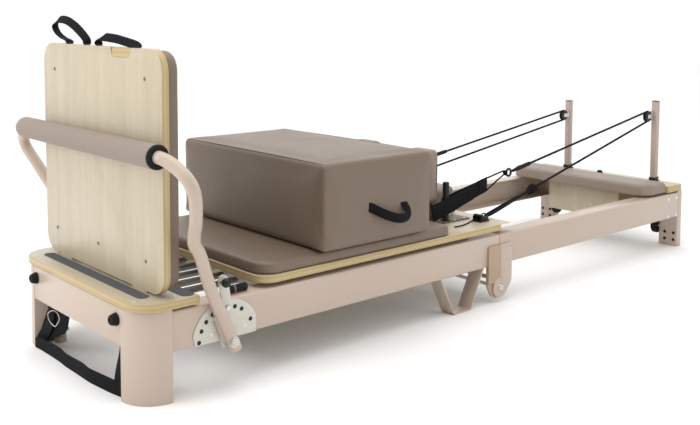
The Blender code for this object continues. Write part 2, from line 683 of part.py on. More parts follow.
knob_holes = group(*(rod((POST_X + 0.013, side * POST_Y[name], KNOB_Z),
                         (POST_X + 0.03, side * POST_Y[name], KNOB_Z), 0.0033, 10)
                     for name, side in SIDES))
knob_x, knob_y = PLATFORM_KNOB
screw_hole = rod((knob_x, knob_y, HEAD_PLATFORM_TOP - 0.012),
                 (knob_x, knob_y, HEAD_PLATFORM_TOP + 0.013), 0.0044, 12)
piece("head_platform", WOOD, fold, deck, add=[panel, *returns, sockets],
      cut=[post_holes, knob_holes, screw_hole])

dome = rod((knob_x, knob_y, HEAD_PLATFORM_TOP + GAP), (knob_x, knob_y, KNOB_SHOULDER), 0.014, 20)
cap = rod((knob_x, knob_y, KNOB_SHOULDER - 0.0005), (knob_x, knob_y, KNOB_SHOULDER + 0.008),
          0.0135, 20, 0.007)
screw = rod((knob_x, knob_y, HEAD_PLATFORM_TOP - 0.0115),
            (knob_x, knob_y, HEAD_PLATFORM_TOP + 0.003), 0.004, 12)
piece("platform_knob", PLASTIC, fold, dome, add=[cap, screw],
      origin=(knob_x, knob_y, HEAD_PLATFORM_TOP))

pad_half = HALF_WIDTH - 0.005
pad_start = PLATFORM_START - 0.156
pad = cushion((pad_start, PLATFORM_START - 0.001), (-pad_half, pad_half),
              (HEAD_PLATFORM_BOTTOM + 0.0005, HEAD_PLATFORM_TOP + 0.019), 0.008,
              crown=0.003, cells=3)
corner_cuts = group(*(plate("XY", [(pad_start - 0.010, side * (pad_half - 0.058)),
                                   (pad_start - 0.010, side * (pad_half + 0.008)),
                                   (pad_start + 0.077, side * (pad_half + 0.008))],
                            HEAD_PLATFORM_BOTTOM - 0.022, HEAD_PLATFORM_TOP + 0.043)
                      for _, side in SIDES))
piece("head_pad", HIDE, fold, pad, cut=[corner_cuts])


def sheave_out(side_name):
    """How far the sheave's middle stands from the frame's middle plane."""
    return POST_Y[side_name] - 0.007


def sheave_height(side_name):
    return POST_TOP[side_name] - SHEAVE_DROP


# Posts, their clamp knobs, and the swivelling pulleys
LUG_Z = ((-0.0180, -0.0125), (0.0125, 0.0180))

for side_name, side in SIDES:
    middle_y = side * POST_Y[side_name]
    sheave_y = side * sheave_out(side_name)
    sheave_z = sheave_height(side_name)
    half = POST_SIDE / 2
    post = block((POST_X - half, POST_X + half), (middle_y - half, middle_y + half),
                 (HEAD_PLATFORM_TOP - 0.003, POST_TOP[side_name]), 0.0015, 1)
    lugs = group(*(block((SWIVEL_X - 0.005, POST_X - half + 0.002),
                         (sheave_y - 0.004, sheave_y + 0.004), (sheave_z + low, sheave_z + high))
                   for low, high in LUG_Z))
    piece("post_" + side_name, PAINT, fold, post, add=[lugs],
          origin=(POST_X, middle_y, HEAD_PLATFORM_TOP))

    grip = rod((POST_X + SOCKET_HALF + GAP, middle_y, KNOB_Z),
               (FRAME_END - 0.0005, middle_y, KNOB_Z), 0.0087, 10)
    stem = rod((POST_X + 0.0135, middle_y, KNOB_Z), (POST_X + 0.022, middle_y, KNOB_Z), 0.003, 10)
    piece("clamp_knob_" + side_name, PLASTIC, fold, grip, add=[stem],
          origin=(POST_X + SOCKET_HALF, middle_y, KNOB_Z))

    barrel = rod((SWIVEL_X, sheave_y, sheave_z - 0.012), (SWIVEL_X, sheave_y, sheave_z + 0.012),
                 0.0045, 14)
    web = block((SHEAVE_X + 0.0243, SWIVEL_X - 0.003), (sheave_y - 0.0092, sheave_y + 0.0092),
                (sheave_z - 0.009, sheave_z + 0.009))
    cheeks = group(*(block((SHEAVE_X - 0.009, SWIVEL_X - 0.0035),
                           (sheave_y + face * 0.0070, sheave_y + face * 0.0090),
                           (sheave_z - 0.008, sheave_z + 0.008))
                     for face in (-1, 1)))
    pin = rod((SHEAVE_X, sheave_y - 0.008, sheave_z), (SHEAVE_X, sheave_y + 0.008, sheave_z),
              0.0030, 12)
    piece("pulley_bracket_" + side_name, PLASTIC, fold, barrel, add=[web, cheeks, pin],
          origin=(SWIVEL_X, sheave_y, sheave_z))

    sheave = turned([
        (0.0034, -0.0065), (SHEAVE_RADIUS, -0.0065), (SHEAVE_RADIUS, -0.0062), (0.0135, -0.0018),
        (0.0135, 0.0018), (SHEAVE_RADIUS, 0.0062), (SHEAVE_RADIUS, 0.0065), (0.0034, 0.0065),
    ], (SHEAVE_X, sheave_y, sheave_z), 20)
    piece("pulley_sheave_" + side_name, PLASTIC, fold, sheave,
          origin=(SHEAVE_X, sheave_y, sheave_z))

# Carriage: board with rope cleats, pad, underframe and four track wheels
CLEAT_X = (BOARD_END - 0.086, BOARD_END - 0.039)
CLEAT_Y = (HALF_WIDTH - 0.095, HALF_WIDTH - 0.056)
CLEAT_TOP = BOARD_TOP + 0.025
ROPE_END = (BOARD_END - 0.066, CLEAT_Y[0] + 0.0195, BOARD_TOP + 0.0105)
GRIP_END = (ROPE_END[0] + 0.282, ROPE_END[1] - 0.0115, ROPE_END[2] + 0.0405)
PAD_TOP = BOARD_TOP + 0.034
BOARD_HALF = HALF_WIDTH - 0.003
CARRIAGE_PAD = (BOARD_START + 0.011, BOARD_START + 0.709)

board = plate("XY", rounded([
    (BOARD_START, -BOARD_HALF, 0.03), (BOARD_END - 0.05, -BOARD_HALF, 0.01),
    (BOARD_END, 0.05 - BOARD_HALF, 0.01), (BOARD_END, BOARD_HALF - 0.05, 0.01),
    (BOARD_END - 0.05, BOARD_HALF, 0.01), (BOARD_START, BOARD_HALF, 0.03),
], 4), BOARD_BOTTOM, BOARD_TOP)
cleats = group(*(block(CLEAT_X, (side * CLEAT_Y[0], side * CLEAT_Y[1]),
                       (BOARD_TOP - 0.002, CLEAT_TOP), 0.002, 1) for _, side in SIDES))
hole_back = Vector(ROPE_END).lerp(GRIP_END, -0.015)
hole_front = Vector(ROPE_END).lerp(GRIP_END, 0.12)
cleat_holes = group(*(rod((hole_back.x, side * hole_back.y, hole_back.z),
                          (hole_front.x, side * hole_front.y, hole_front.z),
                          ROPE_RADIUS + 0.0006, 12) for _, side in SIDES))
piece("carriage_board", WOOD, carriage, board, add=[cleats], cut=[cleat_holes])
piece("carriage_pad", HIDE, carriage,
      cushion(CARRIAGE_PAD, (0.002 - BOARD_HALF, BOARD_HALF - 0.002),
              (BOARD_TOP + 0.0005, PAD_TOP), 0.009, corner=0.030, crown=0.002, cells=3))

SILL_Y = (HALF_WIDTH - 0.087, HALF_WIDTH - 0.069)
SILL_X = (WHEEL_X[0] - 0.020, WHEEL_X[1] + 0.025)
CROSS_X = ((SPRING_END + GAP, SPRING_END + 0.0068), (WHEEL_X[1] - 0.004, WHEEL_X[1] + 0.004))
HANGER_Y = (SILL_Y[1] - 0.006, SILL_Y[1] - 0.0005)
AXLE_END = WHEEL_Y + WHEEL_HALF + 0.004
frame_top = BOARD_BOTTOM - GAP
sill = block(SILL_X, (-SILL_Y[1], -SILL_Y[0]), (0.206, frame_top))
far_sill = block(SILL_X, (SILL_Y[0], SILL_Y[1]), (0.206, frame_top))
cross_bars = [block(ends, (-SILL_Y[0] - 0.004, SILL_Y[0] + 0.004), (0.175, frame_top - 0.0005))
              for ends in CROSS_X]
hangers = []
for _, side in SIDES:
    for x in WHEEL_X:
        hangers.append(plate("XZ", rounded([
            (x - 0.022, 0.215, 0), (x + 0.022, 0.215, 0), (x + 0.010, 0.138, 0.008),
            (x - 0.010, 0.138, 0.008),
        ], 3), side * HANGER_Y[0], side * HANGER_Y[1]))
        hangers.append(rod((x, side * (HANGER_Y[0] + 0.003), WHEEL_Z),
                           (x, side * (AXLE_END - 0.0015), WHEEL_Z), 0.005, 12))
        hangers.append(rod((x, side * (AXLE_END - 0.0034), WHEEL_Z),
                           (x, side * AXLE_END, WHEEL_Z), 0.0085, 12))
piece("carriage_frame", PLATE, carriage, sill, add=[far_sill, *cross_bars, *hangers])

for side_name, side in SIDES:
    for end_name, x in zip(("foot", "head"), WHEEL_X):
        tread = turned([
            (0.0054, -0.0100), (0.0120, -0.0100), (0.0220, -WHEEL_HALF), (0.0260, -WHEEL_HALF),
            (WHEEL_RADIUS, -0.0085), (WHEEL_RADIUS, 0.0085), (0.0260, WHEEL_HALF),
            (0.0220, WHEEL_HALF), (0.0120, 0.0100), (0.0054, 0.0100),
        ], (x, side * WHEEL_Y, WHEEL_Z), 20)
        piece("carriage_wheel_" + end_name + "_" + side_name, PLASTIC, carriage, tread,
              origin=(x, side * WHEEL_Y, WHEEL_Z))

# Shoulder rests with the strap posts, and the headrest
STRAP_POST = (BOARD_END - 0.157, 0.187)
STRAP_POST_RADIUS = 0.0105
REST_AXIS = (BOARD_END - 0.140, BOARD_TOP + 0.0004)
REST_Y = (0.080, 0.180)
rest_floor = BOARD_TOP + 0.0004

for side_name, side in SIDES:
    post_x, post_y = STRAP_POST
    rest_pad = cushion((post_x - 0.075, post_x - 0.020), (side * REST_Y[0], side * REST_Y[1]),
                       (BOARD_TOP + 0.059, BOARD_TOP + 0.236), 0.012, crown=0.0, cells=2)
    base = block((post_x - 0.027, post_x + 0.095), (side * (REST_Y[0] + 0.038), side * 0.207),
                 (rest_floor, BOARD_TOP + 0.0075))
    riser = block((post_x - 0.0225, post_x - 0.0165),
                  (side * (REST_Y[0] + 0.040), side * (REST_Y[0] + 0.070)),
                  (BOARD_TOP + 0.005, BOARD_TOP + 0.153))
    strap_post = rod((post_x, side * post_y, BOARD_TOP + 0.006),
                     (post_x, side * post_y, BOARD_TOP + 0.129), STRAP_POST_RADIUS, 18)
    piece("shoulder_rest_" + side_name, HIDE, carriage, base, add=[riser, rest_pad, strap_post],
          origin=(post_x, side * post_y, BOARD_TOP))

rest_x, rest_z = REST_AXIS
piece("headrest", HIDE, carriage,
      cushion((rest_x, rest_x + 0.120), (-0.110, 0.110), (rest_z + 0.0126, rest_z + 0.0926),
              0.012, crown=0.004, cells=2),
      add=[block((rest_x + 0.002, rest_x + 0.118), (-0.105, 0.105), (rest_z, rest_z + 0.0151))],
      origin=(rest_x, 0, rest_z))

# Sitting box, lying across the carriage pad
BOX_SIZE = (0.404, 2 * HALF_WIDTH + 0.028, 0.237)
BOX_X = (CARRIAGE_PAD[0] + CARRIAGE_PAD[1]) / 2 + 0.030
piece("box", HIDE, carriage,
      cushion((BOX_X - BOX_SIZE[0] / 2, BOX_X + BOX_SIZE[0] / 2),
              (-BOX_SIZE[1] / 2, BOX_SIZE[1] / 2),
              (PAD_TOP + 0.0005, PAD_TOP + BOX_SIZE[2]), 0.010, corner=0.010, crown=0.004, cells=3),
      origin=(BOX_X, 0, PAD_TOP))

# Footbar: bent tube with pivot brackets, foam roller, and the lock pins
ARM = ((0.251, 0, 0.098), (0.2405, 0, 0.122), (0.222, 0, 0.163), (0.177, 0, 0.266),
       (0.150, 0.003, 0.344), (0.128, 0.013, 0.376), (0.118, 0.029, 0.405),
       (0.109, 0.049, 0.430), (0.098, 0.068, 0.460), (0.085, 0.088, 0.492),
       (0.0725, 0.099, 0.520), (0.062, 0.091, 0.546), (0.0525, 0.066, 0.567),
       (0.043, 0.041, 0.581), (ROLLER_X, ROLLER_HALF + 0.006 - ARM_Y, ROLLER_Z))
BRACKET = (SECTOR_OUTER + 0.0004, SECTOR_OUTER + 0.0039)
TONGUE = (BRACKET[1] + 0.0034, BRACKET[1] + 0.0068)
PIN_RADIUS = 0.004
PIN_TIP = SECTOR_OUTER + 0.0003

near_arm = smooth_route([(x, -ARM_Y - out, z) for x, out, z in ARM], 2)
far_arm = [Vector((point.x, -point.y, point.z)) for point in reversed(near_arm)]
tube = pipe([*near_arm, *far_arm], TUBE_RADIUS, 3)
pin_x, pin_z = ring_point(PIN_ANGLE)
brackets = []
for _, side in SIDES:
    brackets.append(plate("XZ", rounded([
        (0.222, 0.100, 0.008), (0.256, 0.100, 0.012), (0.258, 0.140, 0.010),
        (0.251, 0.219, 0.008), (0.232, 0.222, 0.008), (0.199, 0.204, 0.006),
        (0.197, 0.187, 0.006), (0.214, 0.150, 0.010),
    ], 3), side * BRACKET[0], side * BRACKET[1], [circle(pin_x, pin_z, PIN_RADIUS + 0.0005)]))
    weld_y = side * (BRACKET[1] + 0.0033)
    brackets.append(rod((0.2432, weld_y, 0.108), (0.2250, weld_y, 0.152), 0.0045, 10))
bolt_holes = group(*(rod((PIVOT_X, side * (HALF_WIDTH - 0.002), PIVOT_Z),
                         (PIVOT_X, side * (BOLT_END - 0.0065), PIVOT_Z),
                         BOLT_RADIUS + 0.0004, 14) for _, side in SIDES))
piece("footbar_tube", PAINT, footbar, tube, add=brackets, cut=[bolt_holes])

foam = rod((ROLLER_X, -ROLLER_HALF, ROLLER_Z), (ROLLER_X, ROLLER_HALF, ROLLER_Z),
           ROLLER_RADIUS, 28)
foam_reach = ROLLER_HALF + 0.0135
foam_bore = rod((ROLLER_X, -foam_reach, ROLLER_Z), (ROLLER_X, foam_reach, ROLLER_Z),
                TUBE_RADIUS + 0.0005, 20)
piece("footbar_foam", FOAM, footbar, foam, cut=[foam_bore])

for side_name, side in SIDES:
    tongue = plate("XZ", rounded([
        (0.2275, 0.190, 0.003), (0.2490, 0.190, 0.004), (0.2370, 0.283, 0.006),
        (0.2070, 0.283, 0.006),
    ], 3), side * TONGUE[0], side * TONGUE[1])
    lock = rod((pin_x, side * PIN_TIP, pin_z), (pin_x, side * (TONGUE[0] + 0.0019), pin_z),
               PIN_RADIUS, 12)
    knob_x, knob_y, knob_z = 0.2200, TONGUE[1] + 0.0155, 0.2670
    stem = rod((knob_x + 0.0015, side * (TONGUE[1] - 0.001), knob_z - 0.003),
               (knob_x, side * (knob_y - 0.001), knob_z), 0.003, 10)
    knob = ball((knob_x, side * knob_y, knob_z), 0.0115)
    piece("lock_pin_" + side_name, PLASTIC, footbar, tongue, add=[lock, stem, knob],
          origin=(pin_x, side * PIN_TIP, pin_z))

# Jump board: plywood with two tongues, a finger scoop, its pad and carrying loops
SCOOP_Y = (-0.173, -0.073)
SCOOP_DEPTH = 0.005
LOOP_X = JUMP_X + PLY / 2
LOOP_FOOT = JUMP_TOP + 0.0004

jump_ply = plate("YZ", rounded([
    (-JUMP_HALF, JUMP_BOTTOM, 0.05), (JUMP_HALF, JUMP_BOTTOM, 0.05),
    (JUMP_HALF, JUMP_TOP, 0.05), (-JUMP_HALF, JUMP_TOP, 0.05),
], 6), JUMP_X, JUMP_X + PLY)
tongues = group(*(block((JUMP_X, JUMP_X + PLY),
                        (side * TONGUE_Y - TONGUE_WIDTH / 2, side * TONGUE_Y + TONGUE_WIDTH / 2),
                        (PLATFORM_BOTTOM - 0.0628, JUMP_BOTTOM + 0.01)) for _, side in SIDES))
shoulders = group(*(block((JUMP_X + 0.0005, JUMP_X + PLY - 0.0005),
                          (side * TONGUE_Y - 0.035, side * TONGUE_Y + 0.035),
                          (PLATFORM_TOP + GAP, JUMP_BOTTOM + 0.008)) for _, side in SIDES))
scoop = plate("YZ", rounded([
    (SCOOP_Y[0], JUMP_TOP - 0.025, 0.018), (SCOOP_Y[1], JUMP_TOP - 0.025, 0.018),
    (SCOOP_Y[1], JUMP_TOP + 0.015, 0), (SCOOP_Y[0], JUMP_TOP + 0.015, 0),
], 5), JUMP_X - 0.01, JUMP_X + SCOOP_DEPTH)
piece("jump_board", WOOD, jump, jump_ply, add=[tongues, shoulders], cut=[scoop])

jump_pad = cushion((0.003 - JUMP_TOP, -JUMP_BOTTOM - 0.004), (0.002 - JUMP_HALF, JUMP_HALF - 0.002),
                   (JUMP_X + PLY + GAP, JUMP_X + PLY + 0.028), 0.009, corner=0.045,
                   crown=0.002, cells=3)
jump_pad.transform(Matrix.Rotation(math.pi / 2, 4, "Y"))
piece("jump_pad", HIDE, jump, jump_pad)

LOOPS = {
    "far": ((0.186, 0.8310), (0.215, 0.8440), (0.262, 0.8600), (0.283, 0.8770),
            (0.258, 0.8930), (0.214, 0.8960), (0.160, 0.8760), (0.110, 0.8500), (0.080, 0.8330)),
    "near": ((0.019, 0.8330), (0.021, 0.8440), (0.010, 0.8520), (-0.015, 0.8550),
             (-0.045, 0.8530), (-0.100, 0.8450), (-0.150, 0.8380), (-0.180, 0.8320)),
}
for side_name, route in LOOPS.items():
    points = smooth_route([(LOOP_X, y, z) for y, z in route], 2)
    points = [Vector((*points[0][:2], LOOP_FOOT)), *points, Vector((*points[-1][:2], LOOP_FOOT))]
    piece("carry_loop_" + side_name, WEBBING, jump, pipe(points, 0.0035, 1),
          origin=(LOOP_X, route[0][0], JUMP_TOP))

# Ropes: from the foot loop's ring over the sheave and back through the grip to the cleat
RING = (STRAP_POST[0] + 0.275, 0.195, 0.377)
RING_RADIUS = 0.013
RING_WIRE = 0.0028
ROPE_START = (RING[0] + 0.0175, RING[1], RING[2] + 0.0025)
SLEEVE = ((0.0025, 2.0), (0.0085, 2.3), (0.0925, 2.3), (0.1025, 1.5), (0.1065, 1.0))
GRIP = ((0.132, 1.0), (0.128, 2.0), (0.114, 2.9), (0.018, 2.9), (0.004, 2.0), (0.0, 1.0))


def tangent(point, sheave_z, side_of):
    """Angle on the sheave at which a straight run from the point touches the rope's orbit."""
    dx = point[0] - SHEAVE_X
    dz = point[2] - sheave_z
    return math.atan2(dz, dx) % (2 * math.pi) + side_of * math.acos(ROPE_ORBIT / math.hypot(dx, dz))


def on_orbit(angle, side_name):
    return Vector((SHEAVE_X + ROPE_ORBIT * math.cos(angle), sheave_out(side_name),
                   sheave_height(side_name) + ROPE_ORBIT * math.sin(angle)))


def along(start, end, x):
    """Point of the straight line from start to end at the given x."""
    return Vector(start).lerp(end, (x - start[0]) / (end[0] - start[0]))


for side_name, side in SIDES:
    top_angle = tangent(ROPE_START, sheave_height(side_name), -1)
    low_angle = tangent(GRIP_END, sheave_height(side_name), 1) - 2 * math.pi
    turn = low_angle - top_angle
    top_point = on_orbit(top_angle, side_name)
    low_point = on_orbit(low_angle, side_name)
    route = [(Vector(ROPE_START), 1.0)]
    route += [(along(ROPE_START, top_point, ROPE_START[0] + run), scale) for run, scale in SLEEVE]
    route += [(Vector(ROPE_START).lerp(top_point, share), 1.0) for share in (0.35, 0.60, 0.82)]
    route += [(on_orbit(top_angle + turn * k / 10, side_name), 1.0) for k in range(11)]
    route += [(low_point.lerp(Vector(GRIP_END), share), 1.0) for share in (0.30, 0.55)]
    route += [(along(low_point, GRIP_END, GRIP_END[0] + run), scale) for run, scale in GRIP]
    route += [(Vector(GRIP_END).lerp(Vector(ROPE_END), share), 1.0) for share in (0.35, 0.70)]
    route += [(Vector(ROPE_END), 1.0)]
    points = [(point.x, side * point.y, point.z) for point, _ in route]
    piece("rope_" + side_name, WEBBING, carriage,
          pipe(points, ROPE_RADIUS, 2, scales=[scale for _, scale in route]),
          origin=(SHEAVE_X, side * sheave_out(side_name), sheave_height(side_name)))

# Foot loops: webbing round the strap post, a cord triangle and the ring
BAND_WIDTH = 0.045
BAND_THICK = 0.0025
BAND_INNER = 0.0109
BAND_TIP = STRAP_POST[0] + 0.158
BAND_TIP_Y = 0.192
BAND_SLOPE = 0.386
BAND_MIDDLE = 0.295

for side_name, side in SIDES:
    def band_outline(grow):
        radius = BAND_INNER + grow
        bend = [Vector((post_x + radius * math.cos(angle), side * post_y + radius * math.sin(angle)))
                for angle in (math.radians(85 + 19 * k) for k in range(11))]
        tip_y = side * BAND_TIP_Y
        return [Vector((BAND_TIP + grow * 2, tip_y - 0.0006 - grow)),
                Vector((BAND_TIP + grow * 2, tip_y + 0.0006 + grow)), *bend]

    band = plate("XY", band_outline(BAND_THICK), -BAND_WIDTH / 2, BAND_WIDTH / 2,
                 [band_outline(0)])
    for vert in band.vertices:
        vert.co.z += BAND_MIDDLE + BAND_SLOPE * (vert.co.x - post_x)
    ring_x, ring_y, ring_z = RING
    bar_x, bar_y = BAND_TIP + 0.004, side * BAND_TIP_Y
    bar_low, bar_high = 0.3400, 0.3800
    bar = rod((bar_x, bar_y, bar_low - 0.001), (bar_x, bar_y, bar_high + 0.001), 0.0028, 10)
    cords = [rod((bar_x, bar_y, bar_z), (ring_x - RING_RADIUS, side * ring_y, ring_z + shift),
                 0.0018, 8)
             for bar_z, shift in ((bar_low, -0.0022), (bar_high, 0.0022))]
    turns = [2 * math.pi * k / 16 for k in range(16)]
    ring = pipe([(ring_x + RING_RADIUS * math.cos(turn), side * ring_y,
                  ring_z + RING_RADIUS * math.sin(turn)) for turn in turns],
                RING_WIRE, 2, closed=True)
    piece("foot_loop_" + side_name, WEBBING, carriage, band, add=[bar, *cords, ring],
          origin=(ring_x, side * ring_y, ring_z))
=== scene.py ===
"""Dressed model of a folding reformer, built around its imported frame.

Lengths are metres. Pieces are described in the frame of the foot end, with x from the outer
face of the foot beam, y from the centre line and z from the floor, and are moved to the row
frame when they are finished.
"""

import math

import bmesh
import bpy
from mathutils import Matrix, Vector, noise


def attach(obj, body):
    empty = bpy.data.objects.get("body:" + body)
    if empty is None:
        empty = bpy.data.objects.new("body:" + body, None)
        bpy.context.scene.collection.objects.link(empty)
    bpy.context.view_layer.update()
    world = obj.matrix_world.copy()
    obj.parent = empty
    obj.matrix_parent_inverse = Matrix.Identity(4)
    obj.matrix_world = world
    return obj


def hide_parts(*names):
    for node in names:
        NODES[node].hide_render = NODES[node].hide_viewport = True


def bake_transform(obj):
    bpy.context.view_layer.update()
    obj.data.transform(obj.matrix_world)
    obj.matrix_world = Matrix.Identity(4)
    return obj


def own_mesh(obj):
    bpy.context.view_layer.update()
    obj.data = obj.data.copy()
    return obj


bl_info = {
    "name": "Folding reformer dressing",
    "version": (1, 0, 0),
    "blender": (4, 5, 0),
    "location": "3D View > Sidebar > Reformer",
    "description": "Builds the finished surfaces of a folding reformer on its frame",
    "category": "Object",
}

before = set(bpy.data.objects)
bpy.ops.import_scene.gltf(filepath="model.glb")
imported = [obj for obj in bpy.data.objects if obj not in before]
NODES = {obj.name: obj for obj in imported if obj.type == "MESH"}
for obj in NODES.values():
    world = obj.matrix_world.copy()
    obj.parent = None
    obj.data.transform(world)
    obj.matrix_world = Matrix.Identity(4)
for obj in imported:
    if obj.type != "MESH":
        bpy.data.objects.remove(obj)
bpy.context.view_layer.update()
X_MIDDLE = 1.186
SIDES = (("near", -1), ("far", 1))

# Places and sizes that several pieces share
RAIL_FACE = 0.3270
LEAF_FACE = 0.3333
SECTOR_FACE = 0.3308
BEAM_BOTTOM, BEAM_TOP, BEAM_DEPTH = 0.133, 0.2222, 0.040
FOOT_DECK_TOP = 0.2425
SPRING_AXIS = 0.190
STOP_AT = (0.2640, 0.2960, 0.2266)
HINGE_AT = (1.274, 0.048)
PIVOT_AT = (0.238, 0.120)
LOCK_ORBIT = 0.079
LOCK_ANGLES = (175, 155, 137.6, 120.4, 71.8, 55.7, 25.9)
HEAD_DECK_BOTTOM, HEAD_DECK_TOP = 0.222, 0.247
TRANSPORT_AT = (2.360, 0.238, 0.072)
CLAMP_KNOB_X, CLAMP_KNOB_Z = 2.3818, 0.256
SWIVEL_X = 2.3475
SHEAVE_INSET, SHEAVE_DROP = 0.007, 0.058
BOARD_BOTTOM, BOARD_TOP = 0.228, 0.247
WHEEL_Y, WHEEL_Z = 0.298, 0.1503
CLEAT_Y, CLEAT_BASE_TOP, CAM_X = 0.2515, 0.2515, 1.2690
REST_PLATE_TOP = 0.2510
SOCKET_TOP = 0.2492
LOOP_X = 0.0835
STRAP_POST = (1.175, 0.187)
LOOP_RING = (1.478, 0.195, 0.374)
ARM_Y = 0.3507
ROLLER_AT = (0.0345, 0, 0.588)
JUMP_FACE = 0.0745


# Node groups shared by the finishes
def new_group(name, inputs, outputs):
    group = bpy.data.node_groups.new(name, "ShaderNodeTree")
    for label, kind, value in inputs:
        socket = group.interface.new_socket(name=label, in_out="INPUT", socket_type=kind)
        socket.default_value = value
    for label, kind in outputs:
        group.interface.new_socket(name=label, in_out="OUTPUT", socket_type=kind)
    return group, group.nodes.new("NodeGroupInput"), group.nodes.new("NodeGroupOutput")


def node(tree, kind, values=(), links=(), **settings):
    """New node with its settings, socket values and incoming links."""
    made = tree.nodes.new(kind)
    for key, value in settings.items():
        setattr(made, key, value)
    for socket, value in dict(values).items():
        made.inputs[socket].default_value = value
    for socket, source in dict(links).items():
        tree.links.new(source, made.inputs[socket])
    return made


def stretched(tree, vector, scale):
    """The vector scaled by a different amount along each axis."""
    return node(tree, "ShaderNodeMapping", {"Scale": scale}, {"Vector": vector}).outputs[0]


def tinted_group():
    """A base colour that drifts between a lighter and a darker tone, with fine speckle."""
    group, enter, leave = new_group(
        "tone_drift",
        (("Colour", "NodeSocketColor", (1, 1, 1, 1)), ("Patch Size", "NodeSocketFloat", 5.0),
         ("Amount", "NodeSocketFloat", 0.05), ("Vector", "NodeSocketVector", (0, 0, 0))),
        (("Colour", "NodeSocketColor"), ("Mask", "NodeSocketFloat")))
    patches = node(group, "ShaderNodeTexNoise", {"Detail": 5.0, "Roughness": 0.6},
                   {"Vector": enter.outputs["Vector"], "Scale": enter.outputs["Patch Size"]})
    centred = node(group, "ShaderNodeMath", {1: 0.5}, {0: patches.outputs["Fac"]},
                   operation="SUBTRACT")
    swing = node(group, "ShaderNodeMath", {}, {0: centred.outputs[0], 1: enter.outputs["Amount"]},
                 operation="MULTIPLY")
    level = node(group, "ShaderNodeMath", {1: 1.0}, {0: swing.outputs[0]}, operation="ADD")
    shaded = node(group, "ShaderNodeVectorMath", {}, {0: enter.outputs["Colour"]},
                  operation="SCALE")
    group.links.new(level.outputs[0], shaded.inputs["Scale"])
    group.links.new(shaded.outputs[0], leave.inputs["Colour"])
    group.links.new(patches.outputs["Fac"], leave.inputs["Mask"])
    return group


def fibre_group():
    """Long wood fibres along the vector's first axis, and pores between them."""
    group, enter, leave = new_group(
        "wood_fibre",
        (("Vector", "NodeSocketVector", (0, 0, 0)), ("Light", "NodeSocketColor", (1, 1, 1, 1)),
         ("Dark", "NodeSocketColor", (0, 0, 0, 1))),
        (("Colour", "NodeSocketColor"), ("Height", "NodeSocketFloat")))
    vector = enter.outputs["Vector"]
    bands = node(group, "ShaderNodeTexNoise", {"Scale": 1.0, "Detail": 4.0, "Roughness": 0.55},
                 {"Vector": stretched(group, vector, (1.1, 26.0, 26.0))})
    fibres = node(group, "ShaderNodeTexNoise", {"Scale": 1.0, "Detail": 3.0, "Roughness": 0.7},
                  {"Vector": stretched(group, vector, (9.0, 420.0, 420.0))})
    pores = node(group, "ShaderNodeTexNoise", {"Scale": 1.0, "Detail": 1.0},
                 {"Vector": stretched(group, vector, (60.0, 900.0, 900.0))})
    pore_mask = node(group, "ShaderNodeMapRange", {"From Min": 0.60, "From Max": 0.72},
                     {"Value": pores.outputs["Fac"]})
    both = node(group, "ShaderNodeMath", {1: 0.55}, {0: fibres.outputs["Fac"]},
                operation="MULTIPLY")
    mixed = node(group, "ShaderNodeMath", {1: 0.45, 2: 0.0}, {0: bands.outputs["Fac"],
                                                             2: both.outputs[0]},
                 operation="MULTIPLY_ADD")
    spread = node(group, "ShaderNodeMapRange", {"From Min": 0.36, "From Max": 0.64},
                  {"Value": mixed.outputs[0]})
    colour = node(group, "ShaderNodeMix", {}, {"Factor": spread.outputs[0],
                                               "A": enter.outputs["Light"],
                                               "B": enter.outputs["Dark"]}, data_type="RGBA")
    shade = node(group, "ShaderNodeMath", {1: 0.16}, {0: pore_mask.outputs[0]},
                 operation="MULTIPLY")
    left = node(group, "ShaderNodeMath", {0: 1.0}, {1: shade.outputs[0]}, operation="SUBTRACT")
    pored = node(group, "ShaderNodeVectorMath", {}, {0: colour.outputs["Result"]},
                 operation="SCALE")
    group.links.new(left.outputs[0], pored.inputs["Scale"])
    height = node(group, "ShaderNodeMath", {1: -1.0}, {0: pore_mask.outputs[0]},
                  operation="MULTIPLY")
    group.links.new(pored.outputs[0], leave.inputs["Colour"])
    group.links.new(height.outputs[0], leave.inputs["Height"])
    return group


def pebble_group():
    """Pressed leather grain: small pebbles with creases between, and shallow broad dents."""
    group, enter, leave = new_group(
        "pebble_grain",
        (("Vector", "NodeSocketVector", (0, 0, 0)), ("Scale", "NodeSocketFloat", 700.0)),
        (("Height", "NodeSocketFloat"), ("Creases", "NodeSocketFloat")))
    pebbles = node(group, "ShaderNodeTexVoronoi", {"Randomness": 1.0},
                   {"Vector": enter.outputs["Vector"], "Scale": enter.outputs["Scale"]},
                   feature="DISTANCE_TO_EDGE")
    creases = node(group, "ShaderNodeMapRange", {"From Min": 0.0, "From Max": 0.16},
                   {"Value": pebbles.outputs["Distance"]})
    broad = node(group, "ShaderNodeTexNoise", {"Scale": 28.0, "Detail": 3.0},
                 {"Vector": enter.outputs["Vector"]})
    height = node(group, "ShaderNodeMath", {1: 1.6}, {0: broad.outputs["Fac"],
                                                     2: creases.outputs[0]},
                  operation="MULTIPLY_ADD")
    group.links.new(height.outputs[0], leave.inputs["Height"])
    group.links.new(creases.outputs[0], leave.inputs["Creases"])
    return group


